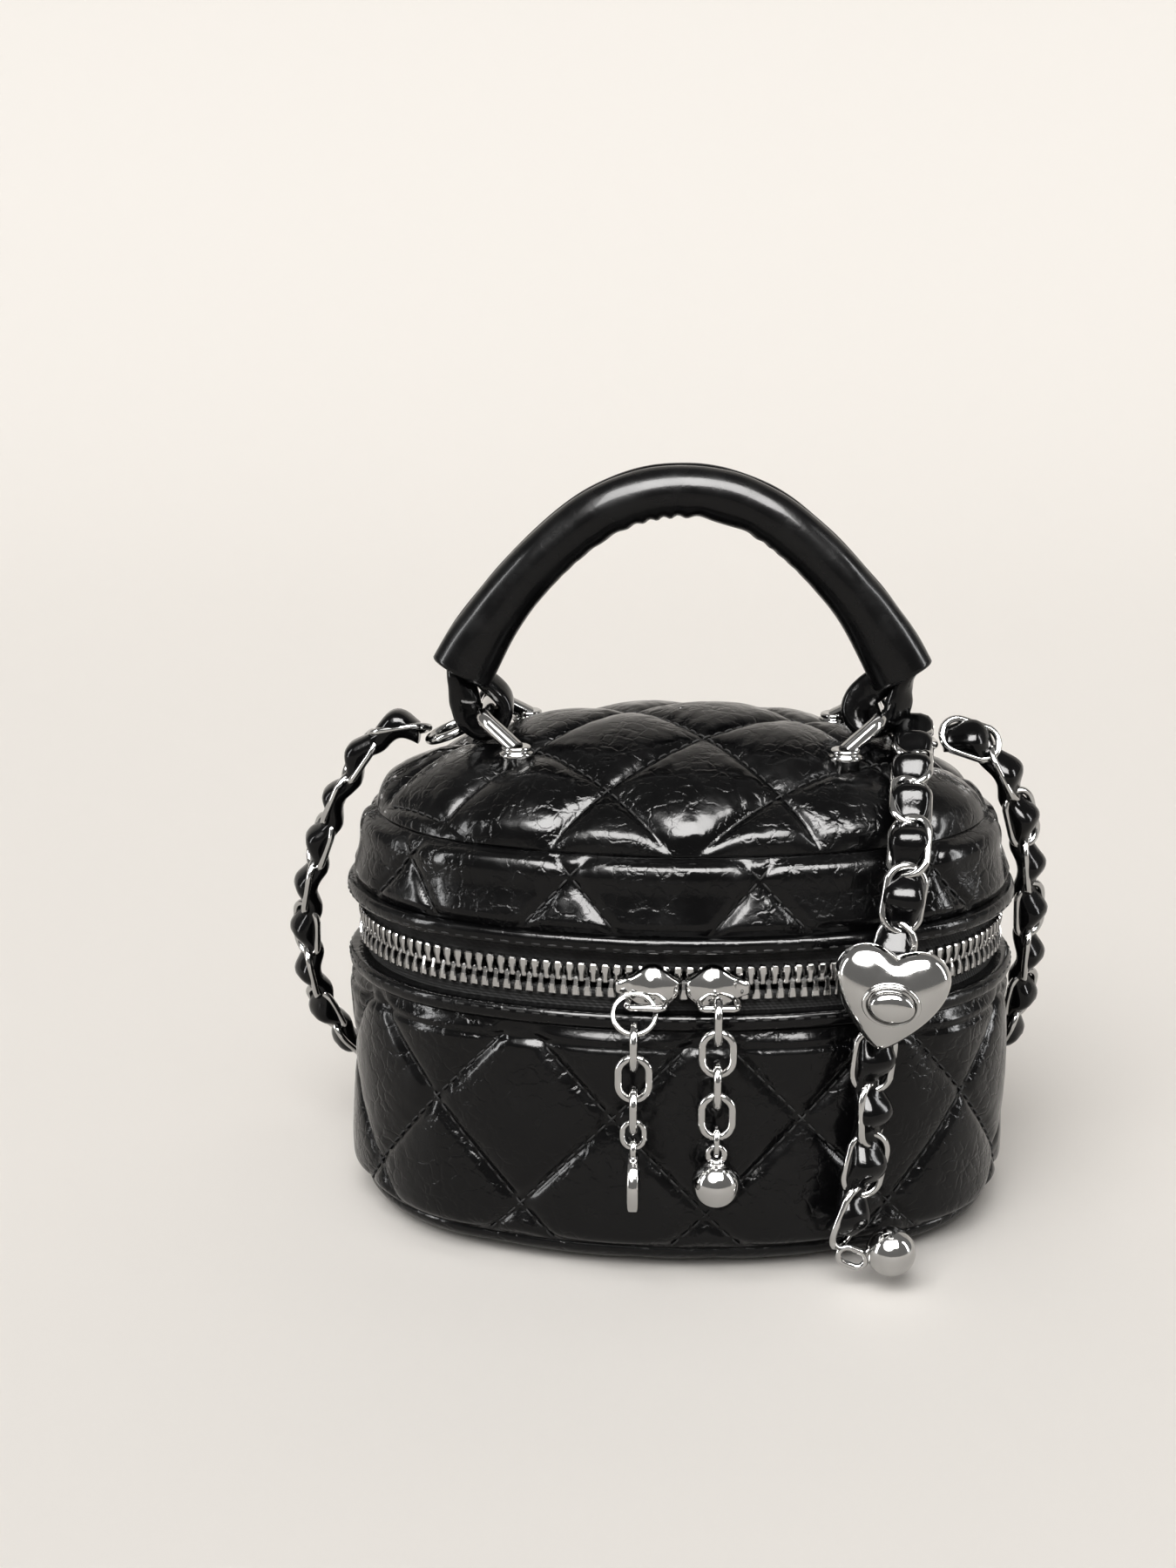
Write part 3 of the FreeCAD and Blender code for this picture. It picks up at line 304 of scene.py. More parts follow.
def sheet_grid(surface, lift, lengths, heights):
    """A grid of the surface's points, each raised by the lift at its place."""
    along, up = (part.ravel() for part in np.meshgrid(lengths, heights, indexing="ij"))
    return raised(surface, along, up, lift(along, up)).reshape(len(lengths), -1, 3)


def sunk_by(depth):
    """A lift that lies the same depth under the sheet all over."""
    return lambda along, up: np.full(len(along), -depth)


def quilted_piece(name, outer, inner, body, node):
    """A sheet of leather with a quilted outer face and a plain inner one."""
    points = np.concatenate([outer, inner], axis=1)
    faces = grid_faces(len(points), points.shape[1], True, True)
    return piece_of(name, points.reshape(-1, 3), faces, quilt_leather, body, "quilted_leather", (node,))


def two_skins(front, back, faces, border):
    """A front and a back sheet of the same grid, joined along their border."""
    count = len(front)
    faces = faces + [tuple(index + count for index in face[::-1]) for face in faces]
    for here, after in zip(border, border[1:] + border[:1]):
        faces.append((here, after, after + count, here + count))
    return np.vstack([front, back]), faces


def stitch_runs(surface, lift, starts, ends):
    """Short thread stitches along seams: each is a little capsule sunk at both ends."""
    heads, tails = [], []
    for start, end in zip(starts, ends):
        count = max(1, int(math.dist(start, end) / STITCH_PITCH))
        marks = np.arange(count) / count
        run = np.array(end) - np.array(start)
        heads.append(np.array(start) + marks[:, None] * run)
        tails.append(np.array(start) + (marks[:, None] + STITCH_SHARE / count) * run)
    heads, tails = np.vstack(heads), np.vstack(tails)
    first = raised(surface, heads[:, 0], heads[:, 1], lift(*heads.T))
    last = raised(surface, tails[:, 0], tails[:, 1], lift(*tails.T))
    out = unit(raised(surface, heads[:, 0], heads[:, 1], np.full(len(heads), MM)) - surface(*heads.T))
    side = unit(np.cross(last - first, out))
    # share of the stitch's length, rise in millimetres and share of the thread's radius
    stations = ((0.0, -0.12, 0.5), (0.16, 0.1, 1.0), (0.5, 0.16, 1.05), (0.84, 0.1, 1.0), (1.0, -0.12, 0.5))
    sunk = 0.12
    rings = []
    for share, rise, swell in stations:
        centre = first + (last - first) * share + out * (rise + sunk) * MM
        for turn in spokes(THREAD_CORNERS):
            rings.append(centre + (side * math.cos(turn) + out * math.sin(turn)) * THREAD_RADIUS * swell)
    points = np.stack(rings, axis=1).reshape(-1, 3)
    faces = []
    for first_point in range(0, len(points), len(rings)):
        faces += tube_faces(len(stations), THREAD_CORNERS, first_point)
    return points, faces


def seam_lines(crossing, low, high):
    """Ends of every seam between two heights, for a sheet that goes right round."""
    starts, ends = [], []
    for index in range(DIAMONDS_ROUND):
        for way in (-1, 1):
            for up, points in ((low, starts), (high, ends)):
                turns = index + way * (up - crossing[1]) / PITCH_TALL
                points.append((crossing[0] + PITCH_ROUND * turns, up))
    return starts, ends


# --- materials -------------------------------------------------------------------------------------------

def shader_of(name, colour, roughness, metallic=0.0):
    """A new material and its node tree's parts, with the plain values set on the shader."""
    material = bpy.data.materials.new(name)
    material.use_nodes = True
    nodes, links = material.node_tree.nodes, material.node_tree.links
    shader = nodes["Principled BSDF"]
    shader.inputs["Base Color"].default_value = (*colour, 1)
    shader.inputs["Roughness"].default_value = roughness
    shader.inputs["Metallic"].default_value = metallic
    place = nodes.new("ShaderNodeTexCoord").outputs["Object"]
    return material, nodes, links, shader, place


def noise_node(nodes, links, place, scale, detail=2.0, distortion=0.0, output="Fac"):
    texture = nodes.new("ShaderNodeTexNoise")
    texture.inputs["Scale"].default_value = scale
    texture.inputs["Detail"].default_value = detail
    texture.inputs["Distortion"].default_value = distortion
    links.new(place, texture.inputs["Vector"])
    return texture.outputs[output]


def spread_to(nodes, links, value, low, high, new_low, new_high):
    """The value mapped from one range to another."""
    mapping = nodes.new("ShaderNodeMapRange")
    for key, amount in (("From Min", low), ("From Max", high), ("To Min", new_low), ("To Max", new_high)):
        mapping.inputs[key].default_value = amount
    links.new(value, mapping.inputs["Value"])
    return mapping.outputs["Result"]


def bump_node(nodes, links, height, strength, depth, before=None):
    bump = nodes.new("ShaderNodeBump")
    bump.inputs["Strength"].default_value = strength
    bump.inputs["Distance"].default_value = depth
    links.new(height, bump.inputs["Height"])
    if before:
        links.new(before, bump.inputs["Normal"])
    return bump.outputs["Normal"]


# patent leather: creases and pores per metre, and how deep each bump is
BLACK = (0.0025, 0.0025, 0.0028)
CREASES_PER_METRE = 310
CREASE_DRIFT = 3.5 * MM
CREASE_BUMP = 0.2 * MM
PORES_PER_METRE = 480
PORE_BUMP = 0.25 * MM
GRAIN_PER_METRE = 3200
GRAIN_BUMP = 0.04 * MM


def patent_leather(name, crinkle, fine=1.0, roughness=(0.12, 0.3)):
    """Black lacquered leather: short broken creases, a faint pore grain and uneven gloss."""
    material, nodes, links, shader, place = shader_of(name, BLACK, 0.2)
    shader.inputs["Specular IOR Level"].default_value = 0.12
    shader.inputs["Coat Weight"].default_value = 0.1
    shader.inputs["Coat Roughness"].default_value = 0.06
    warp = nodes.new("ShaderNodeVectorMath")
    warp.operation = "MULTIPLY_ADD"
    links.new(noise_node(nodes, links, place, 330, 3, output="Color"), warp.inputs[0])
    warp.inputs[1].default_value = (CREASE_DRIFT, CREASE_DRIFT, CREASE_DRIFT)
    links.new(place, warp.inputs[2])
    cells = nodes.new("ShaderNodeTexVoronoi")
    cells.feature = "DISTANCE_TO_EDGE"
    cells.inputs["Scale"].default_value = CREASES_PER_METRE * fine
    links.new(warp.outputs["Vector"], cells.inputs["Vector"])
    creases = spread_to(nodes, links, cells.outputs["Distance"], 0.0, 0.13, 0.0, 1.0)
    where = spread_to(nodes, links, noise_node(nodes, links, place, 110, 2), 0.38, 0.56, 1.0, 0.0)
    broken = nodes.new("ShaderNodeMath")
    broken.operation = "MAXIMUM"
    links.new(creases, broken.inputs[0])
    links.new(where, broken.inputs[1])
    normal = bump_node(nodes, links, broken.outputs["Value"], 0.4 * crinkle, CREASE_BUMP)
    pores = noise_node(nodes, links, place, PORES_PER_METRE, 4, 1.2)
    normal = bump_node(nodes, links, pores, 0.25 * crinkle, PORE_BUMP, normal)
    grain = noise_node(nodes, links, place, GRAIN_PER_METRE, 2)
    normal = bump_node(nodes, links, grain, 0.1, GRAIN_BUMP, normal)
    links.new(normal, shader.inputs["Normal"])
    gloss = spread_to(nodes, links, noise_node(nodes, links, place, 140, 3), 0.35, 0.7, *roughness)
    links.new(gloss, shader.inputs["Roughness"])
    return material


def polished_nickel(name, colour, roughness, marks):
    """Plated metal with fine handling marks and slightly uneven polish."""
    material, nodes, links, shader, place = shader_of(name, colour, roughness, 1.0)
    cloud = noise_node(nodes, links, place, 420, 3)
    polish = spread_to(nodes, links, cloud, 0.3, 0.7, roughness, roughness * 2.4)
    links.new(polish, shader.inputs["Roughness"])
    scratches = noise_node(nodes, links, place, 1900, 4, 2.5)
    links.new(bump_node(nodes, links, scratches, marks, 0.03 * MM), shader.inputs["Normal"])
    return material


def woven_cloth(name, colour, pitch, depth):
    """Warp and weft of a woven ribbon or lining as two crossed waves."""
    material, nodes, links, shader, place = shader_of(name, colour, 0.82)
    shader.inputs["Sheen Weight"].default_value = 0.04
    shader.inputs["Specular IOR Level"].default_value = 0.2
    normal = None
    for way in ("DIAGONAL", "Z"):
        wave = nodes.new("ShaderNodeTexWave")
        wave.bands_direction = way
        wave.inputs["Scale"].default_value = 0.314 / pitch
        wave.inputs["Distortion"].default_value = 0.6
        links.new(place, wave.inputs["Vector"])
        normal = bump_node(nodes, links, wave.outputs["Fac"], 0.5, depth, normal)
    links.new(normal, shader.inputs["Normal"])
    shade = spread_to(nodes, links, noise_node(nodes, links, place, 260, 2), 0.3, 0.7, 0.7, 0.95)
    links.new(shade, shader.inputs["Roughness"])
    return material


def fibre_board(name):
    material, nodes, links, shader, place = shader_of(name, (0.16, 0.13, 0.1), 0.9)
    links.new(bump_node(nodes, links, noise_node(nodes, links, place, 700, 4), 0.4, 0.2 * MM),
              shader.inputs["Normal"])
    return material


def pale_floor(name):
    material, nodes, links, shader, place = shader_of(name, (0.88, 0.85, 0.812), 0.75)
    shader.inputs["Specular IOR Level"].default_value = 0.15
    links.new(bump_node(nodes, links, noise_node(nodes, links, place, 90, 3), 0.04, 0.3 * MM),
              shader.inputs["Normal"])
    return material


quilt_leather = patent_leather("crinkled_patent", 1.0)
trim_leather = patent_leather("trim_patent", 0.55)
grip_leather = patent_leather("grip_patent", 0.12, 1.0, (0.2, 0.34))
strap_leather = patent_leather("strap_patent", 0.2, 1.3, (0.1, 0.2))
nickel = polished_nickel("polished_nickel", (0.4, 0.397, 0.39), 0.05, 0.12)
zip_nickel = polished_nickel("zip_nickel", (0.38, 0.376, 0.37), 0.1, 0.2)
screw_steel = polished_nickel("screw_steel", (0.5, 0.5, 0.5), 0.25, 0.4)
thread = woven_cloth("black_thread", (0.004, 0.004, 0.004), 0.5 * MM, 0.06 * MM)
tape_cloth = woven_cloth("zip_tape_weave", (0.006, 0.006, 0.006), 0.55 * MM, 0.1 * MM)
lining_cloth = woven_cloth("lining_weave", (0.014, 0.014, 0.015), 0.35 * MM, 0.04 * MM)
board = fibre_board("fibre_board")


# --- camera, floor and light ---------------------------------------------------------------------------

BAG_MIDDLE = Vector((0, 0, 0.06))


def add_camera():
    """The camera stands in front, a little above the bag, and is aimed past its upper left."""
    elevation = math.radians(19.5)
    distance = 0.45
    target = Vector((0, 0, 0.04))
    forward = Vector((0, math.cos(elevation), -math.sin(elevation)))
    upward = Vector((0, math.sin(elevation), math.cos(elevation)))
    beside, above = -0.0416, 0.0933
    axis = forward + Vector((1, 0, 0)) * beside + upward * above
    data = bpy.data.cameras.new("camera")
    data.sensor_fit = "VERTICAL"
    data.sensor_height = 36
    data.lens = 51
    data.clip_start = 0.01
    camera = bpy.data.objects.new("camera", data)
    camera.location = target - forward * distance
    camera.rotation_euler = axis.to_track_quat("-Z", "Y").to_euler()
    bpy.context.scene.collection.objects.link(camera)
    bpy.context.scene.camera = camera


def add_floor():
    """A floor that curves up into a wall far behind."""
    half, back, rise = 3.0, 0.7, 1.1
    profile = [(-2.4, 0.0), (0.0, 0.0), (back, 0.0)]
    for angle in np.radians(np.arange(10, 91, 10)):
        profile.append((back + rise * math.sin(angle), rise * (1 - math.cos(angle))))
    profile.append((back + rise, 2.6))
    points = [(x, y, z) for y, z in profile for x in (-half, half)]
    faces = [(2 * index, 2 * index + 1, 2 * index + 3, 2 * index + 2) for index in range(len(profile) - 1)]
    floor = piece_of("floor", points, faces, pale_floor("pale_floor"), tidy=False)
    floor.location.z = -0.1 * MM


def add_light(name, place, width, height, power, colour=(1, 1, 1)):
    """A soft panel aimed at the bag's middle, seen only as a reflection in glossy surfaces."""
    data = bpy.data.lights.new(name, "AREA")
    data.shape = "RECTANGLE"
    data.size = width
    data.size_y = height
    data.energy = power
    data.color = colour
    light = bpy.data.objects.new(name, data)
    light.location = place
    light.rotation_euler = (BAG_MIDDLE - Vector(place)).to_track_quat("-Z", "Y").to_euler()
    light.visible_diffuse = False
    bpy.context.scene.collection.objects.link(light)


def add_lights():
    """A broad soft sun from the front, three panels for the reflections and an even pale surround."""
    sun = bpy.data.lights.new("window", "SUN")
    sun.energy = 2.15
    sun.angle = math.radians(50)
    sun.color = (1, 0.99, 0.975)
    lamp = bpy.data.objects.new("window", sun)
    lamp.rotation_euler = Vector((0.25, 0.72, -0.9)).to_track_quat("-Z", "Y").to_euler()
    bpy.context.scene.collection.objects.link(lamp)
    add_light("key", (0.05, -0.5, 0.72), width=0.85, height=0.5, power=62, colour=(1, 0.985, 0.97))
    add_light("left_strip", (-0.8, -0.25, 0.3), width=0.1, height=0.6, power=5)
    add_light("right_strip", (0.8, -0.1, 0.35), width=0.1, height=0.6, power=5)
    world = bpy.data.worlds.new("studio")
    bpy.context.scene.world = world
    world.use_nodes = True
    background = world.node_tree.nodes["Background"]
    background.inputs["Color"].default_value = (0.9, 0.88, 0.855, 1)
    background.inputs["Strength"].default_value = 0.32
    bpy.context.scene.view_settings.view_transform = "Standard"


add_camera()
add_floor()
add_lights()


# --- straps ----------------------------------------------------------------------------------------------

STRAP_WIDTH = 7 * MM
LINK_PITCH = 10.4 * MM
LINK_LONG = 13.4 * MM
LINK_WIDE = 8.5 * MM
LINK_WIRE = 0.72 * MM
LINK_TWIST = math.radians(20)
TAIL_PITCH = 10.15 * MM
FIRST_LINK = 3.6 * MM


def route_of(*points):
    """Control points of a strap's middle line, given in millimetres."""
    return [tuple(part / 1000 for part in point) for point in points]


LEFT_ROUTE = route_of(
    (-52.6, 10.0, 91.4), (-59.8, 10.2, 91.6), (-65.6, 10.8, 84.8), (-71.2, 12.0, 73.6),
    (-75.8, 14.0, 61.5), (-78.0, 16.5, 48.5), (-77.6, 19.5, 36.0), (-74.6, 23.5, 25.0),
    (-69.0, 30.5, 15.5), (-62.0, 41.0, 8.0), (-54.5, 54.5, 4.8), (-49.0, 68.0, 4.2))
RIGHT_ROUTE = route_of(
    (52.6, 10.0, 91.4), (59.4, 10.2, 91.2), (65.2, 10.8, 84.0), (69.6, 12.0, 72.5),
    (71.4, 14.0, 60.0), (72.3, 16.5, 48.0), (72.1, 19.5, 36.0), (70.6, 24.0, 25.0),
    (66.5, 31.0, 15.5), (60.5, 41.5, 9.0), (55.0, 54.0, 6.6), (50.0, 68.0, 7.4))
TAIL_ROUTE = route_of(
    (45.4, 2.6, 93.4), (44.6, -7.0, 94.3), (43.2, -18.5, 92.9), (42.0, -31.0, 88.7),
    (41.0, -40.6, 81.2), (39.7, -44.8, 71.5), (34.8, -44.8, 41.2), (35.6, -45.0, 30.5),
    (34.1, -45.9, 20.0), (30.6, -47.0, 10.5))


def coil_turns():
    """Two and a half turns, clockwise from above: an outer turn, one inside it and a half turn on top."""
    middle = box_middle("strap_coil")
    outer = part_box("strap_coil")[1].x - STRAP_WIDTH / 2
    inner = outer - STRAP_WIDTH
    level, above = 3.9 * MM, 10.2 * MM
    per_turn = 14
    sway = 0.3 * MM
    points = []
    for step in range(1, int(2.5 * per_turn)):
        turns = step / per_turn
        inward = smooth_step((turns - 0.75) / 0.4)
        on_top = smooth_step((turns - 1.75) / 0.3)
        radius = outer + (inner - outer) * inward * (1 - 0.5 * on_top) + sway * math.sin(5 * turns)
        angle = 2 * math.pi * turns
        points.append((middle[0] - radius * math.cos(angle), middle[1] + radius * math.sin(angle),
                       level + (above - level) * on_top))
    return points


def line_of(route, spacing=0.65 * MM):
    """Evenly spaced points of the smooth line that a route's points control."""
    curve = bpy.data.curves.new("route", "CURVE")
    curve.dimensions = "3D"
    spline = curve.splines.new("NURBS")
    spline.points.add(len(route) - 1)
    for control, point in zip(spline.points, route):
        control.co = (*point, 1)
    spline.order_u = 3
    spline.use_endpoint_u = True
    spline.resolution_u = 16
    holder = bpy.data.objects.new("route", curve)
    bpy.context.scene.collection.objects.link(holder)
    reader = bpy.context.evaluated_depsgraph_get()
    mesh = bpy.data.meshes.new_from_object(holder.evaluated_get(reader))
    line = np.array([vertex.co for vertex in mesh.vertices])
    bpy.data.objects.remove(holder)
    bpy.data.curves.remove(curve)
    bpy.data.meshes.remove(mesh)
    lengths = lengths_along(line)
    even = np.linspace(0, lengths[-1], round(lengths[-1] / spacing) + 1)
    return np.stack([np.interp(even, lengths, line[:, axis]) for axis in range(3)], axis=1)


def frames_along(line, front, roll=0.0):
    """Tangent, sideways and front directions along a line, carried without twist, then rolled."""
    tangents = unit(np.gradient(line, axis=0))
    fronts = np.empty_like(line)
    facing = np.array(front, float)
    for index, tangent in enumerate(tangents):
        facing = facing - tangent * (facing @ tangent)
        facing = facing / np.linalg.norm(facing)
        fronts[index] = facing
    sides = np.cross(tangents, fronts)
    roll = np.broadcast_to(roll, len(line))[:, None]
    turned = fronts * np.cos(roll) + sides * np.sin(roll)
    return tangents, np.cross(tangents, turned), turned


def strip_form(line, sides, fronts, half_width, half_thick, offset, corners=14):
    """A closed strip with a rounded section; its sizes and its offset may change along it."""
    turns = spokes(corners)
    across = np.sign(np.cos(turns)) * np.abs(np.cos(turns)) ** 0.7
    deep = np.sign(np.sin(turns)) * np.abs(np.sin(turns)) ** 0.8
    half_width, half_thick, offset = (np.broadcast_to(amount, len(line)) for amount in
                                      (half_width, half_thick, offset))
    points = (line[:, None] + sides[:, None] * (half_width[:, None] * across)[:, :, None]
              + fronts[:, None] * (half_thick[:, None] * deep + offset[:, None])[:, :, None])
    return points.reshape(-1, 3), tube_faces(len(line), corners)


def link_form(centre, along, side, out, length, width, wire):
    """A round-wired long link: along and side span its plane."""
    bends, ring = 28, 8
    radius = width / 2 - wire
    half = (length - width) / 2
    points = []
    for turn in spokes(bends):
        straight = along * (math.cos(turn) * radius + math.copysign(half, math.cos(turn)))
        place = centre + straight + side * math.sin(turn) * radius
        outward = along * math.cos(turn) + side * math.sin(turn)
        for around_wire in spokes(ring):
            points.append(place + (outward * math.cos(around_wire) + out * math.sin(around_wire)) * wire)
    return np.array(points), grid_faces(bends, ring, True, True)


def strap(line, front, roll, hump_place, first_link, last_link, pitch=LINK_PITCH):
    """The leather strip and the chain that it is woven through, as two forms."""
    tangents, sides, fronts = frames_along(line, front, roll)
    lengths = lengths_along(line)
    phase = (lengths - first_link) / pitch
    pinch = 0.5 - 0.5 * np.cos(2 * math.pi * phase)
    hump = ridge(lengths - hump_place, 5 * MM)
    crease = rough(line, 2.2 * MM, 11.0) * 0.12 * MM
    half_width = (3.7 - 0.8 * pinch + 0.3 * hump) * MM + crease
    half_thick = (2.4 - 0.5 * pinch + 0.6 * hump) * MM + crease
    offset = (0.9 - 2.0 * pinch + 0.8 * hump) * MM
    leather = strip_form(line, sides, fronts, half_width, half_thick, offset)
    links = []
    count = int((lengths[-1] - last_link - first_link) / pitch) + 1
    for index in range(count):
        place = np.searchsorted(lengths, first_link + index * pitch)
        twist = LINK_TWIST if index % 2 else -LINK_TWIST
        side = sides[place] * math.cos(twist) + fronts[place] * math.sin(twist)
        links.append(link_form(line[place], tangents[place], side, np.cross(tangents[place], side),
                               LINK_LONG, LINK_WIDE, LINK_WIRE))
    return leather, joined(links)


def add_main_strap():
    """From the left ring down to the coil behind the case, and up again to the right ring."""
    line = line_of(LEFT_ROUTE + coil_turns() + RIGHT_ROUTE[::-1])
    reach = np.linspace(0, 1, len(line))
    roll = math.radians(-42) * smooth_step(reach / 0.08)
    leather, chain = strap(line, UP, roll, 6 * MM, FIRST_LINK, 3 * MM)
    strip = piece_of("strap_leather", *leather, strap_leather, slot="strap_leather",
                     replaced=("strap_left_upper", "strap_left_lower", "strap_coil", "strap_right_upper",
                               "strap_right_lower"))
    links = piece_of("strap_chain", *chain, nickel, slot="polished_metal")
    for thing in (strip, links):
        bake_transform(thing)


def add_hanging_strap():
    """The strap's free end hangs down the front from the right ring, through the heart slide."""
    line = line_of(TAIL_ROUTE)
    reach = np.linspace(0, 1, len(line))
    roll = math.radians(-46) * smooth_step((reach - 0.6) / 0.15)
    leather, chain = strap(line, UP, roll, 5 * MM, FIRST_LINK, 2 * MM, TAIL_PITCH)
    strip = piece_of("hanging_strap_leather", *leather, strap_leather, slot="strap_leather",
                     replaced=("strap_tail_upper", "strap_tail_lower"))
    links = piece_of("hanging_strap_chain", *chain, nickel, slot="polished_metal")
    for thing in (strip, links):
        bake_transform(thing)


add_main_strap()
add_hanging_strap()


# --- the base --------------------------------------------------------------------------------------------

def base_surface(along, up):
    """The base wall's plain surface: upright, then rounding in under the case.

    up is measured on the leather.
    """
    angle = np.clip((BOTTOM_ROUND - up) / BOTTOM_ROUND, 0, math.pi / 2)
    place, normals = outline(along)
    inset = BOTTOM_ROUND * (1 - np.cos(angle))
    height = np.where(up >= BOTTOM_ROUND, up, BOTTOM_ROUND * (1 - np.sin(angle)))
    return np.column_stack([place - normals * inset[:, None], height])


def base_lift(along, up):
    """Quilting, pressed flat at the rim and at the bottom seam."""
    press = 0.7 * MM
    edge = smooth_step((BASE_TOP - up) / (3.5 * MM)) * smooth_step((up - BASE_LOW) / (3 * MM))
    lift = flatter(quilted(along, up, QUILT_PITCH, BASE_CROSSING, edge), 0.7)
    rim_fold = ridge(BASE_TOP - up - 3.4 * MM, 0.7 * MM)
    return lift * edge - press * (1 - edge) - press * rim_fold


def add_base_wall():
    heights = np.linspace(BASE_LOW, BASE_TOP, round((BASE_TOP - BASE_LOW) / CELL))
    back_heights = [BASE_TOP, 30 * MM, BOTTOM_ROUND, BASE_LOW]
    outer = sheet_grid(base_surface, base_lift, around(CELL), heights)
    inner = sheet_grid(base_surface, sunk_by(LEATHER - 0.1 * MM), around(CELL), back_heights)
    wall = quilted_piece("base_side_leather", outer, inner, "case", "base_side_band")
    starts, ends = seam_lines(BASE_CROSSING, BASE_LOW + 1 * MM, BASE_TOP - 4.2 * MM)
    piece_of("base_stitches", *stitch_runs(base_surface, base_lift, starts, ends), thread, "case")


def rounded_rim(radius, angles):
    """The bottom edge's rounding as (inset, height) pairs."""
    return [(BOTTOM_ROUND - radius * math.cos(angle), BOTTOM_ROUND - radius * math.sin(angle))
            for angle in angles]


def add_bottom():
    """The underside is one panel, turned up to the seam; it rests flat."""
    lengths = around(1.2 * MM)
    angles = np.linspace(SEAM_TURN, math.pi / 2, 9)
    outer_rim = rounded_rim(BOTTOM_ROUND, angles)
    flat = [(BOTTOM_ROUND, 0.0, scale) for scale in np.linspace(0.97, 0.02, 40)]
    under = [(BOTTOM_ROUND, LEATHER, scale) for scale in (0.02, 0.5, 0.95)]
    inner_rim = rounded_rim(BOTTOM_ROUND - LEATHER, angles[::-1])
    rings = outer_rim + flat + under + inner_rim
    points = np.stack([level_ring(lengths, *ring) for ring in rings])
    spread = len(outer_rim) + len(flat)
    sole = points[:spread].reshape(-1, 3)
    near = np.ones(len(sole))
    for distance, _, _ in seams_near(sole[:, 0], sole[:, 1], DOME_PITCH, (0, 0)):
        near *= 1 - np.exp(-distance / (2.5 * MM))
    seam_rise = 0.9 * MM * (1 - near)
    sag = 0.15 * MM * (rough(sole, 5 * MM, 2.0) + 1)
    sole[:, 2] += (seam_rise + sag) * smooth_step(1 - sole[:, 2] / (3 * MM))
    seam = ridge(points[:len(outer_rim), 0, 2] - BOTTOM_SEAM, 0.9 * MM) * 0.7 * MM
    _, normals = outline(lengths)
    points[:spread] = sole.reshape(spread, -1, 3)
    points[:len(outer_rim), :, :2] -= seam[:, None, None] * normals[None]
    faces = grid_faces(len(rings), len(lengths), True, True)
    panel = piece_of("bottom_leather", points.reshape(-1, 3), faces, quilt_leather, "case",
                     "quilted_leather", ("bottom_panel",))


def welt_profile(low, high, outer, inner, corner):
    """A band's section with a round outer face, as (inset, height) pairs."""
    middle, half = (low + high) / 2, (high - low) / 2
    profile = []
    for angle in np.radians(np.linspace(-90, 90, 15)):
        bulge = abs(math.cos(angle)) ** 0.55
        profile.append((outer + corner * (1 - bulge), middle + half * math.sin(angle)))
    return profile + [(inner, high), (inner, low)]


def rim_surface(along, up):
    """The outermost face of the bindings."""
    place, _ = outline(along, -0.5 * MM)
    return np.column_stack([place, up])


def add_rims():
    """Rolled leather bindings above and below the zip, with a row of stitches on each."""
    run = 12 * MM
    gap, row_depth = 0.1 * MM, 0.9 * MM
    for name, low, high, row, body, node in (
            ("base_rim_welt", BASE_TOP + gap, RIM_LOW, RIM_LOW - row_depth, "case", "base_rim_binding"),
            ("lid_rim_welt", RIM_HIGH, LID_START - gap, RIM_HIGH + row_depth, "lid", "lid_rim_binding")):
        profile = welt_profile(low, high, -0.8 * MM, LEATHER, 1.5 * MM)
        band(name, profile, trim_leather, body, "smooth_leather", (node,), 0.8 * MM, 0.1 * MM)
        starts = [(place, row) for place in np.arange(0, PERIMETER, run)]
        ends = [(place + run, row) for place, _ in starts]
        stitches = stitch_runs(rim_surface, sunk_by(0.1 * MM), starts, ends)
        piece_of(name + "_stitches", *stitches, thread, body)


def add_tapes():
    """The zip's two woven ribbons, each with a thicker corded edge that carries the teeth."""
    thick = 0.8 * MM
    cord = 0.3 * MM
    front = LEATHER + 0.1 * MM
    for name, side, far, body in (
            ("zip_tape_lower", -1, 42 * MM, "case"),
            ("zip_tape_upper", 1, 65.8 * MM, "lid")):
        near = CHAIN_MIDDLE + side * 2 * MM
        bead = CHAIN_MIDDLE + side * 2.5 * MM
        heights = np.linspace(min(near, far), max(near, far), 26)
        swell = cord * ridge(heights - bead, 0.7 * MM)
        profile = [(front - extra, height) for height, extra in zip(heights, swell)]
        profile += [(front + thick + extra, height) for height, extra in zip(heights[::-1], swell[::-1])]
        band(name + "_ribbon", profile, tape_cloth, body, "tape", (name,), 1.2 * MM)


# --- the lid ---------------------------------------------------------------------------------------------

def band_surface(along, up):
    """The lid's side, leaning in as it rises to the seam."""
    place, normals = outline(along)
    return np.column_stack([place - normals * ((up - LID_START) * LID_LEAN)[:, None], up])


def band_lift(along, up):
    """Quilting, pressed flat at the rim and rolled out below the seam."""
    edge = smooth_step((LID_SEAM - up) / (2.0 * MM)) * smooth_step((up - LID_START) / (2.2 * MM))
    lift = flatter(quilted(along, up, QUILT_PITCH, LID_CROSSING, edge), 0.5)
    roll = 0.85 * MM * ridge(up - LID_SEAM + 3.2 * MM, 2.8 * MM)
    return lift * edge - 1.1 * MM * (1 - edge) + roll


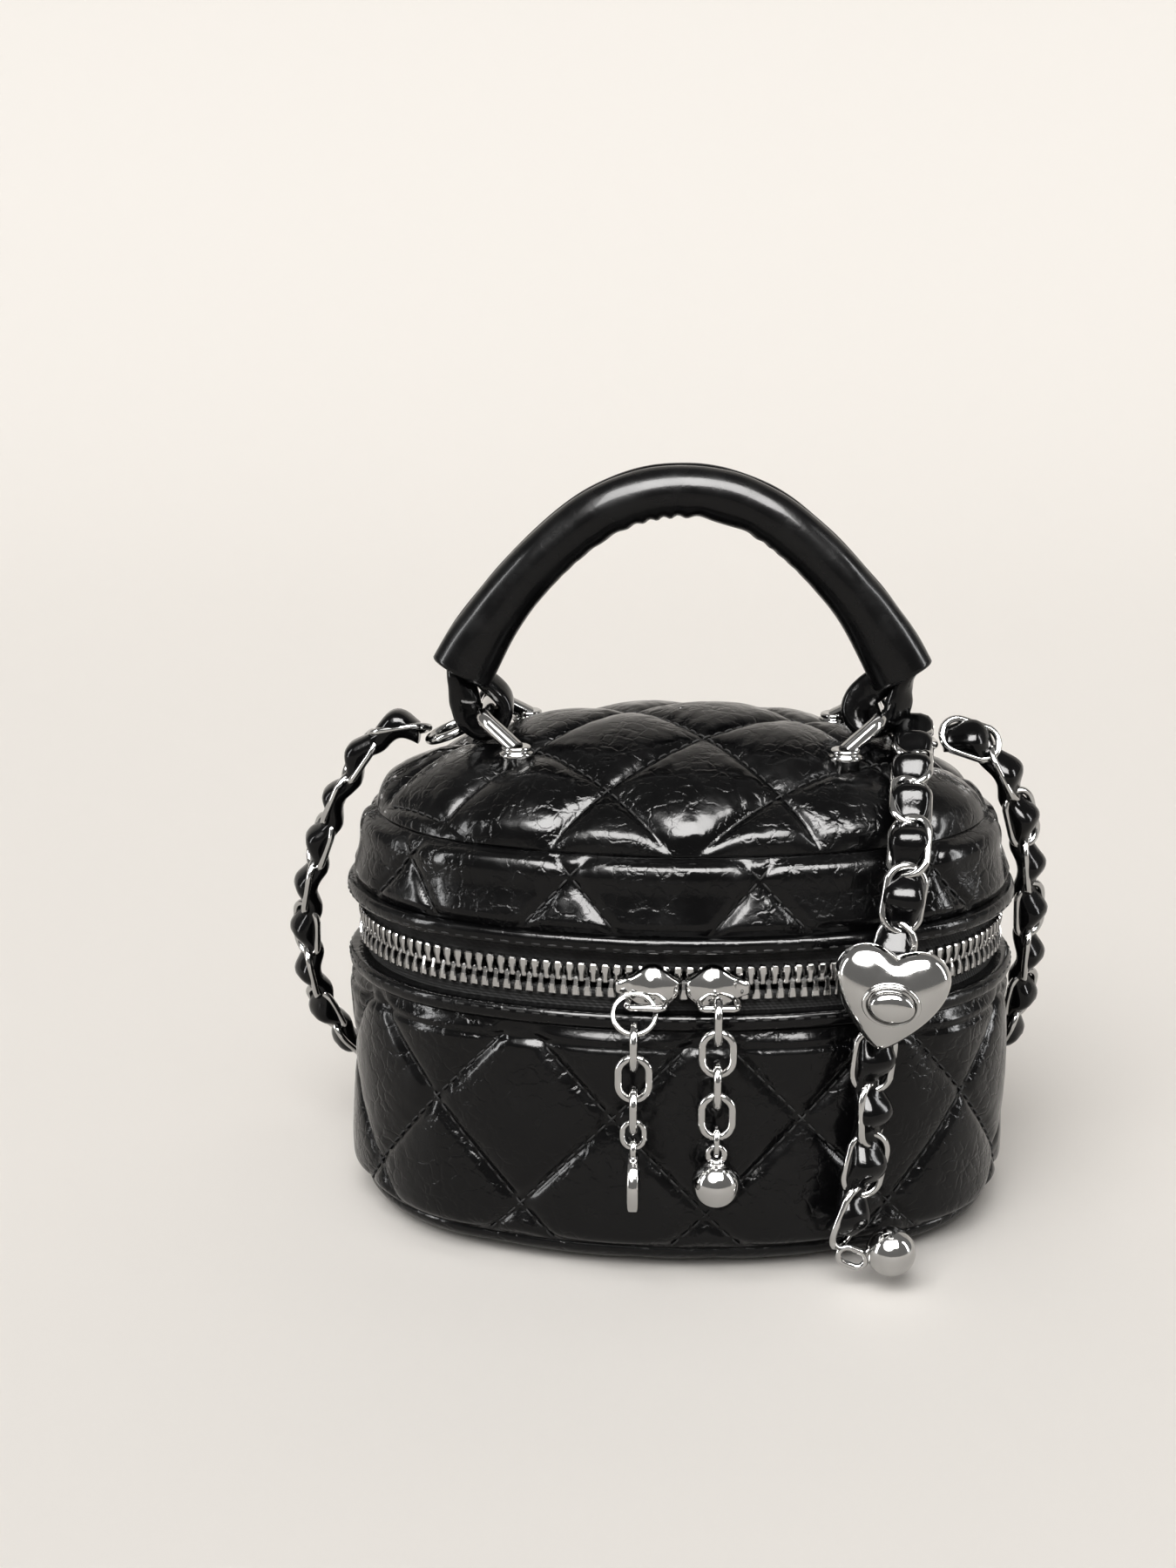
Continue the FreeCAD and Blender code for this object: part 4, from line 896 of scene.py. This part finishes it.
def add_lid_band():
    low, high = LID_START + 0.05 * MM, LID_SEAM
    heights = np.linspace(low, high, round((high - low) / CELL))
    outer = sheet_grid(band_surface, band_lift, around(CELL), heights)
    inner = sheet_grid(band_surface, sunk_by(LEATHER), around(CELL), [high, low])
    wall = quilted_piece("lid_side_leather", outer, inner, "lid", "lid_side_band")
    starts, ends = seam_lines(LID_CROSSING, low + 1.5 * MM, high - 2 * MM)
    piece_of("lid_side_stitches", *stitch_runs(band_surface, band_lift, starts, ends), thread, "lid")


# the dome's leather is measured from the top outward, along headings over the case outline
DOME_RISE = LID_TOP - LID_SEAM
DOME_POWER = 0.75
scales = np.linspace(0, 1, 400)
dome_heights = LID_SEAM + DOME_RISE * (1 - scales ** 2) ** DOME_POWER
mean_reach = (HALF_LONG + HALF_WIDE) / 2 - SEAM_INSET
steps = np.hypot(np.diff(scales), np.diff(dome_heights) / mean_reach)
leather_scales = np.concatenate([[0], np.cumsum(steps)])
ring_lengths = np.linspace(0, PERIMETER, 721)
ring_points, _ = outline(ring_lengths, SEAM_INSET)
ring_headings = np.unwrap(np.arctan2(ring_points[:, 1], ring_points[:, 0]))
ring_reaches = np.hypot(ring_points[:, 0], ring_points[:, 1])


def dome_surface(along, up):
    """The dome's plain surface under a point of the flat leather that is draped over it."""
    heading = np.arctan2(up, along)
    heading = ring_headings[0] + np.mod(heading - ring_headings[0], 2 * math.pi)
    reach = np.interp(heading, ring_headings, ring_reaches)
    scale = np.interp(np.hypot(along, up) / reach, leather_scales, scales)
    height = LID_SEAM + DOME_RISE * np.maximum(1 - scale ** 2, 0) ** DOME_POWER
    return np.column_stack([np.cos(heading) * reach * scale, np.sin(heading) * reach * scale, height])


def fitting_places():
    """Where the dome is pressed down: under the bridges' feet and the handle's loops, and how far."""
    low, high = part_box("bridge_collars")
    for x in (low.x + COLLAR_RADIUS, high.x - COLLAR_RADIUS):
        yield x, low.y + COLLAR_RADIUS, 0.9 * MM
        yield x, high.y - COLLAR_RADIUS, 0.9 * MM
        yield x + math.copysign(5 * MM, x), 0, 0.7 * MM


def dome_lift(along, up):
    """Quilting, sunk under the handle's bridges and loops, and rolled under at the seam."""
    sheared = along - DOME_SHEAR * (up - DOME_CROSSING[1])
    ground = dome_surface(along, up)
    edge = smooth_step((ground[:, 2] - LID_SEAM + 0.3 * MM) / (4 * MM))
    lift = quilted(sheared, up, DOME_PITCH, DOME_CROSSING, edge)
    lift = lift * edge - 1.0 * MM * (1 - edge)
    for x, y, sink in fitting_places():
        lift -= sink * ridge(np.hypot(ground[:, 0] - x, ground[:, 1] - y), 5.5 * MM)
    return lift


def add_dome():
    lengths = around(CELL)
    count = round(mean_reach * leather_scales[-1] / CELL)
    shares = np.linspace(0.006, 1, count)
    heads = np.interp(lengths, ring_lengths, ring_headings)
    reaches = np.interp(lengths, ring_lengths, ring_reaches)
    far = leather_scales[-1] - 0.0005
    along = ((np.cos(heads) * reaches)[:, None] * shares * far).ravel()
    up = ((np.sin(heads) * reaches)[:, None] * shares * far).ravel()
    outer = raised(dome_surface, along, up, dome_lift(along, up)).reshape(len(lengths), count, 3)
    inner = dome_surface(along, up).reshape(len(lengths), count, 3)[:, ::-6].copy()
    inner[:, 0] = level_ring(lengths, SEAM_INSET + LEATHER, LID_SEAM + 0.1 * MM)
    inner[:, 1:, 2] = np.maximum(inner[:, 1:, 2] - LEATHER, LID_SEAM + 0.1 * MM)
    inner[:, 1:, :2] *= 0.95
    dome = quilted_piece("lid_top_leather", outer, inner, "lid", "lid_top_panel")
    add_dome_stitches()


def add_dome_stitches():
    """Every seam of the draped sheet, kept to the part that lies on the dome."""
    starts, ends = [], []
    for way in (-1, 1):
        slope = np.array([1.0, way * DOME_PITCH[1] / DOME_PITCH[0]])
        slope *= STITCH_PITCH / np.hypot(*slope)
        for index in range(-4, 5):
            crossing = np.array([DOME_CROSSING[0] + index * DOME_PITCH[0], DOME_CROSSING[1]])
            for mark in range(-40, 41):
                points = np.array([crossing + slope * mark, crossing + slope * (mark + 1)])
                points[:, 0] += DOME_SHEAR * (points[:, 1] - DOME_CROSSING[1])
                ground = dome_surface(*points.T)
                if ground[:, 2].min() > LID_SEAM + 1.8 * MM and on_dome(points[1]):
                    starts.append(points[0])
                    ends.append(points[1])
    piece_of("lid_top_stitches", *stitch_runs(dome_surface, dome_lift, starts, ends), thread, "lid")


def on_dome(point):
    """Whether a point of the flat leather lands on the dome and not past its edge."""
    heading = ring_headings[0] + (math.atan2(point[1], point[0]) - ring_headings[0]) % (2 * math.pi)
    reach = np.interp(heading, ring_headings, ring_reaches)
    return math.hypot(*point) / reach < leather_scales[-1] * 0.94


add_base_wall()
add_bottom()
add_rims()
add_tapes()
add_lid_band()
add_dome()


# --- lining and hinge ------------------------------------------------------------------------------------

def add_lining():
    """A thin cloth cup in the base and another in the lid, each a little loose."""
    lengths = around(2 * MM)
    wall = 4.7 * MM
    thick = 0.6 * MM
    corner = 6 * MM

    def cup(name, outside, way, body, node):
        inside = [(inset + thick, height + way * thick * (scale < 1), scale)
                  for inset, height, scale in outside[::-1]]
        rings = outside + inside
        points = np.vstack([level_ring(lengths, *ring) for ring in rings])
        points[:, :2] *= 1 - 0.006 * np.abs(rough(points, 12 * MM, 6.0))[:, None]
        faces = grid_faces(len(rings), len(lengths), True, True)
        piece_of(name, points, faces, lining_cloth, body, "lining", (node,))

    floor, top = (end.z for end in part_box("base_lining"))
    rings = [(wall, top - share * (top - floor - corner), 1.0) for share in np.linspace(0, 1, 20)]
    rings += [(wall + corner * (1 - math.cos(angle)), floor + corner * (1 - math.sin(angle)), 1.0)
              for angle in np.radians((30, 60, 90))]
    rings += [(wall + corner, floor, scale) for scale in (0.9, 0.6, 0.3, 0.01)]
    cup("base_lining_cloth", rings, 1, "case", "base_lining")

    low, top = (end.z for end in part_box("lid_lining"))
    rings = [(wall, low + share * (LID_START - low), 1.0) for share in (0, 0.5, 1)]
    rings += [(wall + share * SEAM_INSET, LID_START + share * (LID_SEAM - LID_START), 1.0)
              for share in np.linspace(0.1, 1, 8)]
    for angle in np.radians(np.linspace(8, 89, 16)):
        rise = (top - LID_SEAM) * math.sin(angle) ** 1.5
        rings.append((wall + SEAM_INSET, LID_SEAM + rise, math.cos(angle)))
    cup("lid_lining_cloth", rings, -1, "lid", "lid_lining")


def add_back_hinge():
    """One leather strip across the back, with a soft fold where the lid turns."""
    low_box, high_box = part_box("hinge_strip_lower")[0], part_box("hinge_strip_upper")[1]
    lengths = np.arange(QUARTER, 3 * QUARTER, 0.8 * MM)
    place, _ = outline(lengths)
    lengths = lengths[place[:, 1] > low_box.y]
    low, high = low_box.z + 0.1 * MM, high_box.z - 0.1 * MM
    heights = np.linspace(low, high, 24)
    fold = 0.45 * MM * np.cos((heights - low) / (high - low) * 4 * math.pi) - 0.7 * MM
    section = [(-depth - 0.1 * MM, height) for depth, height in zip(fold, heights)]
    section += [(1.9 * MM - depth, height) for depth, height in zip(fold[::-1], heights[::-1])]
    points = np.stack([level_ring(lengths, *ring) for ring in section], axis=1).reshape(-1, 3)
    points[:, 1] += rough(points, 4 * MM, 8.0) * 0.12 * MM
    strip = piece_of("back_hinge_leather", points, tube_faces(len(lengths), len(section)), trim_leather,
                     slot="smooth_leather", replaced=("hinge_strip_lower", "hinge_strip_upper"))
    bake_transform(strip)


# --- zip -------------------------------------------------------------------------------------------------

def tooth_form():
    """A tooth of the lower row at the origin: a clamp on the ribbon, a waist and a wide head."""
    # height, half width and half depth in millimetres
    stations = ((-3.2, 0.62, 1.75), (-2.9, 0.8, 1.95), (-2.0, 0.74, 1.95), (-1.2, 0.5, 1.8),
                (-0.5, 0.42, 1.6), (0.0, 0.56, 1.55), (0.35, 0.5, 1.4), (0.55, 0.28, 1.1))
    points = []
    for height, half_wide, half_deep in stations:
        cut = 0.3 * half_wide
        for x, y in ((1, -1), (1, 1), (-1, 1), (-1, -1)):
            first = (x * half_wide, y * (half_deep - cut), height)
            second = (x * (half_wide - cut), y * half_deep, height)
            points += [first, second] if x * y < 0 else [second, first]
    return np.array(points) * MM, tube_faces(len(stations), 8)


def add_teeth():
    """Both rows from one end of the zip round the front to the other, half a pitch apart."""
    pitch = 2.17 * MM
    inset = 3.2 * MM
    form, faces = tooth_form()
    fine = np.linspace(-QUARTER * 1.5, QUARTER * 1.5, 2000)
    places, _ = outline(fine, inset)
    travelled = lengths_along(places)
    travelled -= np.interp(0, fine, travelled)
    reach = 53.5 * pitch
    for name, shift, flip, body in (("zip_teeth_lower", 0, 1, "case"), ("zip_teeth_upper", 0.5, -1, "lid")):
        marks = np.arange(-reach, reach, pitch) + shift * pitch
        lengths = np.interp(marks, travelled, fine)
        places, normals = outline(lengths, inset)
        forms = []
        for place, normal in zip(places, normals):
            axes = np.array([[-normal[1], normal[0], 0], [-normal[0], -normal[1], 0], UP * flip])
            forms.append((form @ axes + [place[0], place[1], CHAIN_MIDDLE], faces))
        row = piece_of(name + "_row", *joined(forms), zip_nickel, body, "zip_metal", (name,))
        row.data.shade_flat()


add_lining()
add_back_hinge()
add_teeth()

for node, material in (("base_stiffener", board), ("lid_stiffener", board), ("bottom_board", board),
                       ("bridge_screws", screw_steel)):
    cover(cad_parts[node], material)


# --- handle ----------------------------------------------------------------------------------------------

APEX_HEIGHT = 141 * MM
APEX_RADIUS = 32 * MM
APEX_ANGLE = math.radians(38)
SHOULDER_RADIUS = 80 * MM
LEG_ANGLE = math.radians(62)
LEG_LENGTH = 4 * MM
LOBE = 4.7 * MM
LOBE_STEP = 2.3 * MM
GRIP_STEP = 0.6 * MM
GRIP_CORNERS = 64


def handle_line():
    """The grip's centre line from the left end over to the right end, with its outward directions."""
    points = []

    def arc(x, z, radius, first, last):
        for angle in np.arange(first, last, GRIP_STEP / radius):
            points.append((x + radius * (math.sin(angle) - math.sin(first)),
                           z + radius * (math.cos(angle) - math.cos(first)), angle))

    arc(0, APEX_HEIGHT, APEX_RADIUS, 0, APEX_ANGLE)
    arc(APEX_RADIUS * math.sin(APEX_ANGLE), APEX_HEIGHT - APEX_RADIUS * (1 - math.cos(APEX_ANGLE)),
        SHOULDER_RADIUS, APEX_ANGLE, LEG_ANGLE)
    x, z, _ = points[-1]
    for reach in np.arange(GRIP_STEP, LEG_LENGTH, GRIP_STEP):
        points.append((x + reach * math.cos(LEG_ANGLE), z - reach * math.sin(LEG_ANGLE), LEG_ANGLE))
    right = np.array(points)
    x, z, angle = np.vstack([right[:0:-1] * [-1, 1, -1], right]).T
    level = np.zeros(len(x))
    return np.column_stack([x, level, z]), np.column_stack([np.sin(angle), level, np.cos(angle)])


def grip_section():
    """The grip's radius at each corner round it: two lobes, a groove between them and a closing seam."""
    turns = spokes(GRIP_CORNERS)
    toward = np.abs(np.cos(turns)) * LOBE_STEP
    radius = toward + np.sqrt(np.maximum(toward ** 2 + LOBE ** 2 - LOBE_STEP ** 2, 0))
    for place, depth, width in ((1.45, 0.9 * MM, 0.09), (-1.5, 0.5 * MM, 0.08)):
        off = np.mod(turns - place + math.pi, 2 * math.pi) - math.pi
        radius = radius - depth * ridge(off, width)
    return radius


def add_grip():
    """Two rolled lobes over cord cores, gathered inside the bend and turned in at both ends."""
    line, out = handle_line()
    turns = spokes(GRIP_CORNERS)
    along_y, along_out = np.cos(turns), np.sin(turns)
    radius = grip_section()
    lengths = np.arange(len(line)) * GRIP_STEP
    inner = smooth_step((-along_out - 0.25) / 0.6)
    rings = []
    for place, outward, length in zip(line, out, lengths):
        bend = ridge(length - lengths[-1] / 2, 20 * MM)
        drift = 3.1 * math.sin(length / (4.3 * MM)) + 2 * math.sin(length / (7 * MM))
        wave = math.sin(length / (0.75 * MM) + drift)
        size = radius + inner * bend * (0.3 * wave - 0.2) * MM
        flat = 1.06 + 0.26 * ridge(min(length, lengths[-1] - length), 13 * MM)
        across = np.outer(size * along_y, [0, 1, 0])
        rings.append(place + across + np.outer(size * along_out * flat, outward))
    tangents = unit(np.gradient(line, axis=0))
    # shrink and depth in millimetres, from the turned edge into the mouth
    mouth = ((0.96, -0.3), (0.86, 0.0), (0.78, 0.8), (0.74, 2.2))
    start, finish = (
        [line[end] + (rings[end] - line[end]) * shrink + way * tangents[end] * depth * MM
         for shrink, depth in mouth] for end, way in ((0, 1), (-1, -1)))
    rings = np.stack(start[::-1] + rings + finish)
    points = rings.reshape(-1, 3)
    outward = unit(points - np.repeat(rings.mean(axis=1), GRIP_CORNERS, axis=0))
    points = points + outward * (rough(points, 7 * MM, 1.0) * 0.16 * MM)[:, None]
    faces = tube_faces(len(rings), GRIP_CORNERS)
    grip = piece_of("rolled_grip", points, faces, grip_leather, "handle", "smooth_leather",
                    ("handle_grip", "handle_core_cords"))
    add_grip_threads(line, tangents)


def add_grip_threads(line, tangents):
    """A few turns of thread where each end of the grip is sewn shut over its loop."""
    forms = []
    wire = 0.28 * MM
    span = np.linspace(-1, 1, 9)[:, None]
    for place, tangent, side in ((line[0], tangents[0], -1), (line[-1], tangents[-1], 1)):
        out = np.array([-tangent[2], 0, tangent[0]]) * side
        inward = out * np.sign(out[0]) * -side
        for index in range(4):
            middle = place - tangent * side * (1.2 + 1.1 * index) * MM + inward * (3.9 - 0.1 * index) * MM
            turn = middle + span * np.array([0, 2.1 * MM, 0]) + inward * (1 - span ** 2) * 0.5 * MM
            sides, fronts = np.tile(tangent, (9, 1)), np.tile(inward, (9, 1))
            forms.append(strip_form(turn, sides, fronts, wire, wire, 0.0, 8))
    piece_of("grip_threads", *joined(forms), thread, "handle")


def add_handle_loops():
    """A twisted leather strip at each end of the handle, looped round the bridge's bar."""
    # up towards the grip, outward and towards the back in millimetres, round the eye of the bridge
    stations = ((10.5, 0.7, -1.4), (7.5, 1.0, -2.2), (4.2, 2.5, -2.6), (0.6, 3.9, -2.2),
                (-2.4, 3.0, -1.6), (-3.6, 0, -0.8), (-2.4, -3.0, -0.5), (0.6, -3.9, -0.2),
                (4.2, -2.9, -0.3), (7.5, -1.3, -0.4), (10.5, -0.7, -0.5))
    bar = 1.6 * MM
    line, _ = handle_line()
    for name, side in SIDES:
        low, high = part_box(f"bridge_{name}")
        far, root = (high.x, line[-1]) if side > 0 else (low.x, line[0])
        eye = np.array([far - side * bar, 0, high.z - bar])
        rise = unit(root - eye)
        wide = np.array([rise[2], 0, -rise[0]]) * side
        route = [eye + (rise * up + wide * out + np.array([0, y, 0])) * MM for up, out, y in stations]
        strip = line_of(route, 0.4 * MM)
        tangents, sides, fronts = frames_along(strip, wide)
        lean = 0.95 * np.sin(np.linspace(-math.pi, math.pi, len(strip)))[:, None]
        turned = unit(sides * np.cos(lean) + fronts * np.sin(lean))
        crease = rough(strip, 2.4 * MM, 3.0) * 0.18 * MM
        points, faces = strip_form(strip, turned, np.cross(turned, tangents), 3.2 * MM + crease,
                                   1.6 * MM + crease * 0.8, 0.0, 24)
        piece_of(f"handle_loop_{name}_leather", points, faces, strap_leather, "handle", "smooth_leather",
                 (f"handle_loop_{name}",))


def stadium(first, second, radius, count=14):
    """A closed line in the XZ plane round two places."""
    along = unit(second - first)
    across = np.array([-along[2], 0, along[0]])
    points = []
    for centre, start in ((second, -math.pi / 2), (first, math.pi / 2)):
        for angle in start + np.linspace(0, math.pi, count):
            points.append(centre + (along * math.cos(angle) + across * math.sin(angle)) * radius)
    return np.array(points)


def add_ring_tabs():
    """A short leather tab ties each end ring to the bar of the handle's bridge."""
    reach = 2.45 * MM
    turns = spokes(10)
    for name, side in SIDES:
        node = f"ring_tab_{name}"
        low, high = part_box(node)
        middle = box_middle(node)
        span = (high.x - low.x) / 2 - reach
        upper = np.array([middle[0] - side * span, middle[1], high.z - reach])
        lower = np.array([middle[0] + side * span, middle[1], low.z + reach])
        line = stadium(upper, lower, 2.15 * MM)
        tangents = unit(np.roll(line, -1, axis=0) - np.roll(line, 1, axis=0))
        outward = np.cross(tangents, [0, 1, 0])
        outward *= np.sign(np.sum(outward * (line - line.mean(axis=0)), axis=1))[:, None]
        width = np.outer(np.cos(turns), [0, 1.75 * MM, 0])[None]
        thickness = outward[:, None] * (np.sin(turns) * 0.5 * MM)[None, :, None]
        points = (line[:, None] + width + thickness).reshape(-1, 3)
        faces = grid_faces(len(line), len(turns), True, True)
        piece_of(node + "_leather", points, faces, strap_leather, "lid", "smooth_leather", (node,))


# --- metal fittings --------------------------------------------------------------------------------------

EYE_WIDE = 4.2 * MM
EYE_WIRE = 0.6 * MM
HEART_HALF = 10.6 * MM
HEART_TILT = math.radians(9.2)


def lathe_form(centre, axis, start, profile, corners=48, stretch=1.0):
    """A turned form: profile holds (radius, distance along the axis) from the first pole to the last.

    start is the direction that stretch lengthens, for oval pieces.
    """
    side = np.cross(axis, start)
    turns = spokes(corners)
    arms = np.outer(np.cos(turns) * stretch, start) + np.outer(np.sin(turns), side)
    rings = [centre + axis * along + arms * radius for radius, along in profile]
    return np.vstack(rings), tube_faces(len(rings), corners)


def metal_piece(name, forms, body, node):
    """A nickel fitting made of one or more forms."""
    piece_of(name, *joined(forms), nickel, body, "polished_metal", (node,))


def eye_ring(centre, across):
    """A small cast eye that stands upright."""
    return link_form(centre, UP, across, np.cross(across, UP), EYE_WIDE, EYE_WIDE, EYE_WIRE)


def add_collars():
    """A small double ring at each foot of the bridges."""
    low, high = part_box("bridge_collars")
    profile = ((0.2, -6), (2.6, -6), (2.9, -2.2), (3.2, -1.9), (3.35, -1.4), (3.2, -1.0), (2.75, -0.8),
               (2.7, -0.6), (2.85, -0.4), (2.8, -0.05), (2.5, 0.15), (2.0, 0.1), (0.2, 0.1))
    forms = []
    for x in (low.x + COLLAR_RADIUS, high.x - COLLAR_RADIUS):
        for y in (low.y + COLLAR_RADIUS, high.y - COLLAR_RADIUS):
            forms.append(lathe_form(np.array([x, y, high.z]), UP, RIGHT, np.array(profile) * MM))
    metal_piece("bridge_collar_rings", forms, "lid", "bridge_collars")


def slider_form(base, ahead, out, nose, half_long, half_tall):
    """A bell-shaped slider body with a puffed face and a flat back."""
    columns, rows = 49, 33
    u, v = np.meshgrid(np.linspace(-1, 1, columns), np.linspace(-1, 1, rows), indexing="ij")
    reach = u * nose - 0.16
    top = half_tall * (0.3 + 0.7 * np.exp(-np.abs(reach / 0.6) ** 2.3))
    bottom = half_tall * (0.32 + 0.55 * np.exp(-(reach / 0.72) ** 4))
    corner = np.sqrt(np.maximum(1 - (np.abs(u) ** 6), 0)) ** 0.6
    height = np.where(v > 0, v * top, v * bottom) * (0.55 + 0.45 * corner)
    rim = (1 - np.abs(v) ** 4) * (1 - np.abs(u) ** 10)
    boss = 1.6 * ridge(reach, 0.55) * ridge(v, 0.9)
    neck = 0.4 * ridge(reach + 0.8, 0.14)
    depth = (0.5 + (0.9 + boss) * rim ** 0.5 - neck * rim) * MM
    middle = base + (u * half_long)[:, :, None] * ahead + height[:, :, None] * UP
    front = middle + depth[:, :, None] * out
    back = middle - 0.2 * MM * out
    border = ([column * rows for column in range(columns)]
              + [(columns - 1) * rows + row for row in range(1, rows)]
              + [column * rows + rows - 1 for column in range(columns - 2, -1, -1)]
              + list(range(rows - 2, 0, -1)))
    return two_skins(front.reshape(-1, 3), back.reshape(-1, 3), grid_faces(columns, rows), border)


def add_sliders():
    """Two slider bodies that stand nose to nose on the front of the zip."""
    for name, side in SIDES:
        node = f"slider_{name}_body"
        low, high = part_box(node)
        x, _, z = box_middle(node)
        angle = math.asin(x / (WIDE + 1 * MM))
        ahead = np.array([math.cos(angle), math.sin(angle), 0])
        out = np.array([math.sin(angle), -math.cos(angle), 0])
        base = np.array([x, high.y, z]) + out * 0.3 * MM
        form = slider_form(base, ahead, out, -side, (high.x - low.x) / 2, (high.z - low.z) / 2)
        metal_piece(f"slider_{name}_bell", [form], f"slider_{name}", node)


def add_coin():
    """A plain domed coin with a raised rim, hung edge on, and its cast eye."""
    low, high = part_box("pull_left_coin")
    radius = (high.y - low.y) / 2 - 0.2 * MM
    x, y, _ = box_middle("pull_left_coin")
    centre = np.array([x, y - 0.3 * MM, low.z + radius + 0.3 * MM])
    # share of the radius, and millimetres from the middle, for one face; the other mirrors it
    face = [(0.02, 1.25), (0.3, 1.24), (0.62, 1.1), (0.78, 0.85), (0.82, 0.85), (0.86, 1.0), (0.95, 1.0),
            (1.0, 0.7)]
    face += [(share, -depth) for share, depth in face[::-1]]
    disc = lathe_form(centre, RIGHT, UP, [(share * radius, depth * MM) for share, depth in face])
    metal_piece("coin_charm", [disc, eye_ring(centre + UP * (radius + 1.2 * MM), -FRONT)], "pull_left_coin",
                "pull_left_coin")


def ball_form(centre, radius):
    angles = np.radians(np.linspace(1, 179, 40))
    profile = [(radius * math.sin(angle), -radius * math.cos(angle)) for angle in angles]
    return lathe_form(centre, UP, RIGHT, profile, 64)


def add_ball():
    """The ball under the right pull, with its cap and eye."""
    low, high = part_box("pull_right_ball")
    radius = (high.x - low.x) / 2
    x, y, _ = box_middle("pull_right_ball")
    centre = np.array([x, y, low.z + radius])
    profile = ((0.02, 0), (1.5, 0), (1.35, 0.6), (0.7, 0.85), (0.02, 0.9))
    cap = lathe_form(centre + UP * (radius - 0.35 * MM), UP, RIGHT, np.array(profile) * MM)
    ring = eye_ring(centre + UP * (radius + 1.25 * MM), RIGHT)
    metal_piece("pull_ball", [ball_form(centre, radius), ring, cap], "pull_right_ball", "pull_right_ball")


def heart_rim(count=120):
    """The heart's outline about its middle, as (across, up), of half width one."""
    turns = spokes(count)
    sine, cosine = np.sin(turns), np.cos(turns)
    sharpness = np.where(cosine > 0, 3, 1.4)
    across = np.sign(sine) * np.abs(sine) ** sharpness + 0.16 * sine * (1 - np.abs(cosine))
    up = (13 * cosine - 5 * np.cos(2 * turns) - 2 * np.cos(3 * turns) - np.cos(4 * turns)) / 16
    up = up + 0.65 * np.maximum(cosine, 0) ** 2 * (0.72 - up)
    rim = np.column_stack([across / np.abs(across).max(), (up + 0.12) * 1.02])
    for _ in range(9):
        rim = (np.roll(rim, 1, 0) + 2 * rim + np.roll(rim, -1, 0)) / 4
    return rim


def heart_axes():
    """The heart's middle, and its across and up directions."""
    across = np.array([math.cos(HEART_TILT), 0, -math.sin(HEART_TILT)])
    up = np.array([math.sin(HEART_TILT), 0, math.cos(HEART_TILT)])
    x, _, z = box_middle("heart_collar")
    return np.array([x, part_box("heart_back_plate")[1].y, z]), across, up


def add_heart():
    """A puffed heart in one smooth shell, its back plate, and a turning knob on an oval ring."""
    middle, across, up = heart_axes()
    rim = heart_rim()
    turns = spokes(len(rim))
    soft = np.column_stack([0.9 * np.sin(turns), 0.75 * np.cos(turns)])
    shares = np.linspace(0.01, 1, 26)

    def skin(base, rise, power):
        rings = []
        for share in shares:
            depth = (base + rise * (1 - share ** power) ** 0.5) * MM
            ring = (rim * share ** 1.5 + soft * (1 - share ** 1.5)) * share * HEART_HALF
            rings.append(middle + np.outer(ring[:, 0], across) + np.outer(ring[:, 1], up) + FRONT * depth)
        return np.vstack(rings)

    faces = grid_faces(len(shares), len(rim), False, True) + [tuple(range(len(rim)))]
    edge = range((len(shares) - 1) * len(rim), len(shares) * len(rim))
    for name, front, back, node in (
            ("heart_shell", skin(1.2, 4.5, 2.3), skin(1.05, -0.05, 2), "heart_front_shell"),
            ("heart_back", skin(0.95, 0.05, 2), skin(0.5, -0.9, 3), "heart_back_plate")):
        metal_piece(name, [two_skins(front, back, faces, list(edge))], "heart_slide", node)
    seat = middle + FRONT * 4.7 * MM
    collar = ((0.02, 0.2), (3.0, 0.2), (3.2, 1.2), (3.5, 1.55), (3.85, 1.45), (4.0, 1.0), (3.95, 0.2),
              (4.3, -0.6), (0.02, -0.6))
    knob = ((0.02, -4.0), (1.0, -4.0), (1.0, 0.4), (2.3, 0.5), (2.6, 1.0), (2.75, 1.9), (2.7, 2.5),
            (2.35, 3.0), (1.7, 3.3), (0.9, 3.45), (0.02, 3.5))
    for name, profile, stretch, body, node in (
            ("heart_knob_ring", collar, 1.32, "heart_slide", "heart_collar"),
            ("heart_lock_knob", knob, 1.48, "heart_knob", "heart_knob")):
        form = lathe_form(seat, FRONT, across, np.array(profile) * MM, 64, stretch)
        metal_piece(name, [form], body, node)
    add_heart_keeper(across, up)


def add_heart_keeper(across, up):
    """The flat band behind the heart that the strap runs through."""
    def squared(amount):
        return math.copysign(abs(amount) ** 0.35, amount)

    centre = box_middle("heart_keeper")
    line = []
    for angle in spokes(48):
        side = across * squared(math.cos(angle)) * 5.0 * MM
        line.append(centre + side - FRONT * (squared(math.sin(angle)) * 4.0 - 0.05) * MM)
    line = np.array(line)
    outward = unit(line - centre)
    section = ((0.3, -2.4), (0.3, 2.4), (-0.3, 2.4), (-0.3, -2.4))
    points = np.stack([line + (outward * deep + up * tall) * MM for deep, tall in section], axis=1)
    form = (points.reshape(-1, 3), grid_faces(len(line), len(section), True, True))
    metal_piece("heart_keeper_band", [form], "heart_slide", "heart_keeper")


add_grip()
add_handle_loops()
add_ring_tabs()
add_collars()
add_sliders()
add_coin()
add_ball()
add_heart()

for node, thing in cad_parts.items():
    if node.startswith(("pull_", "slider_", "bridge_left", "bridge_right", "strap_ring", "tail_")):
        cover(thing, nickel)
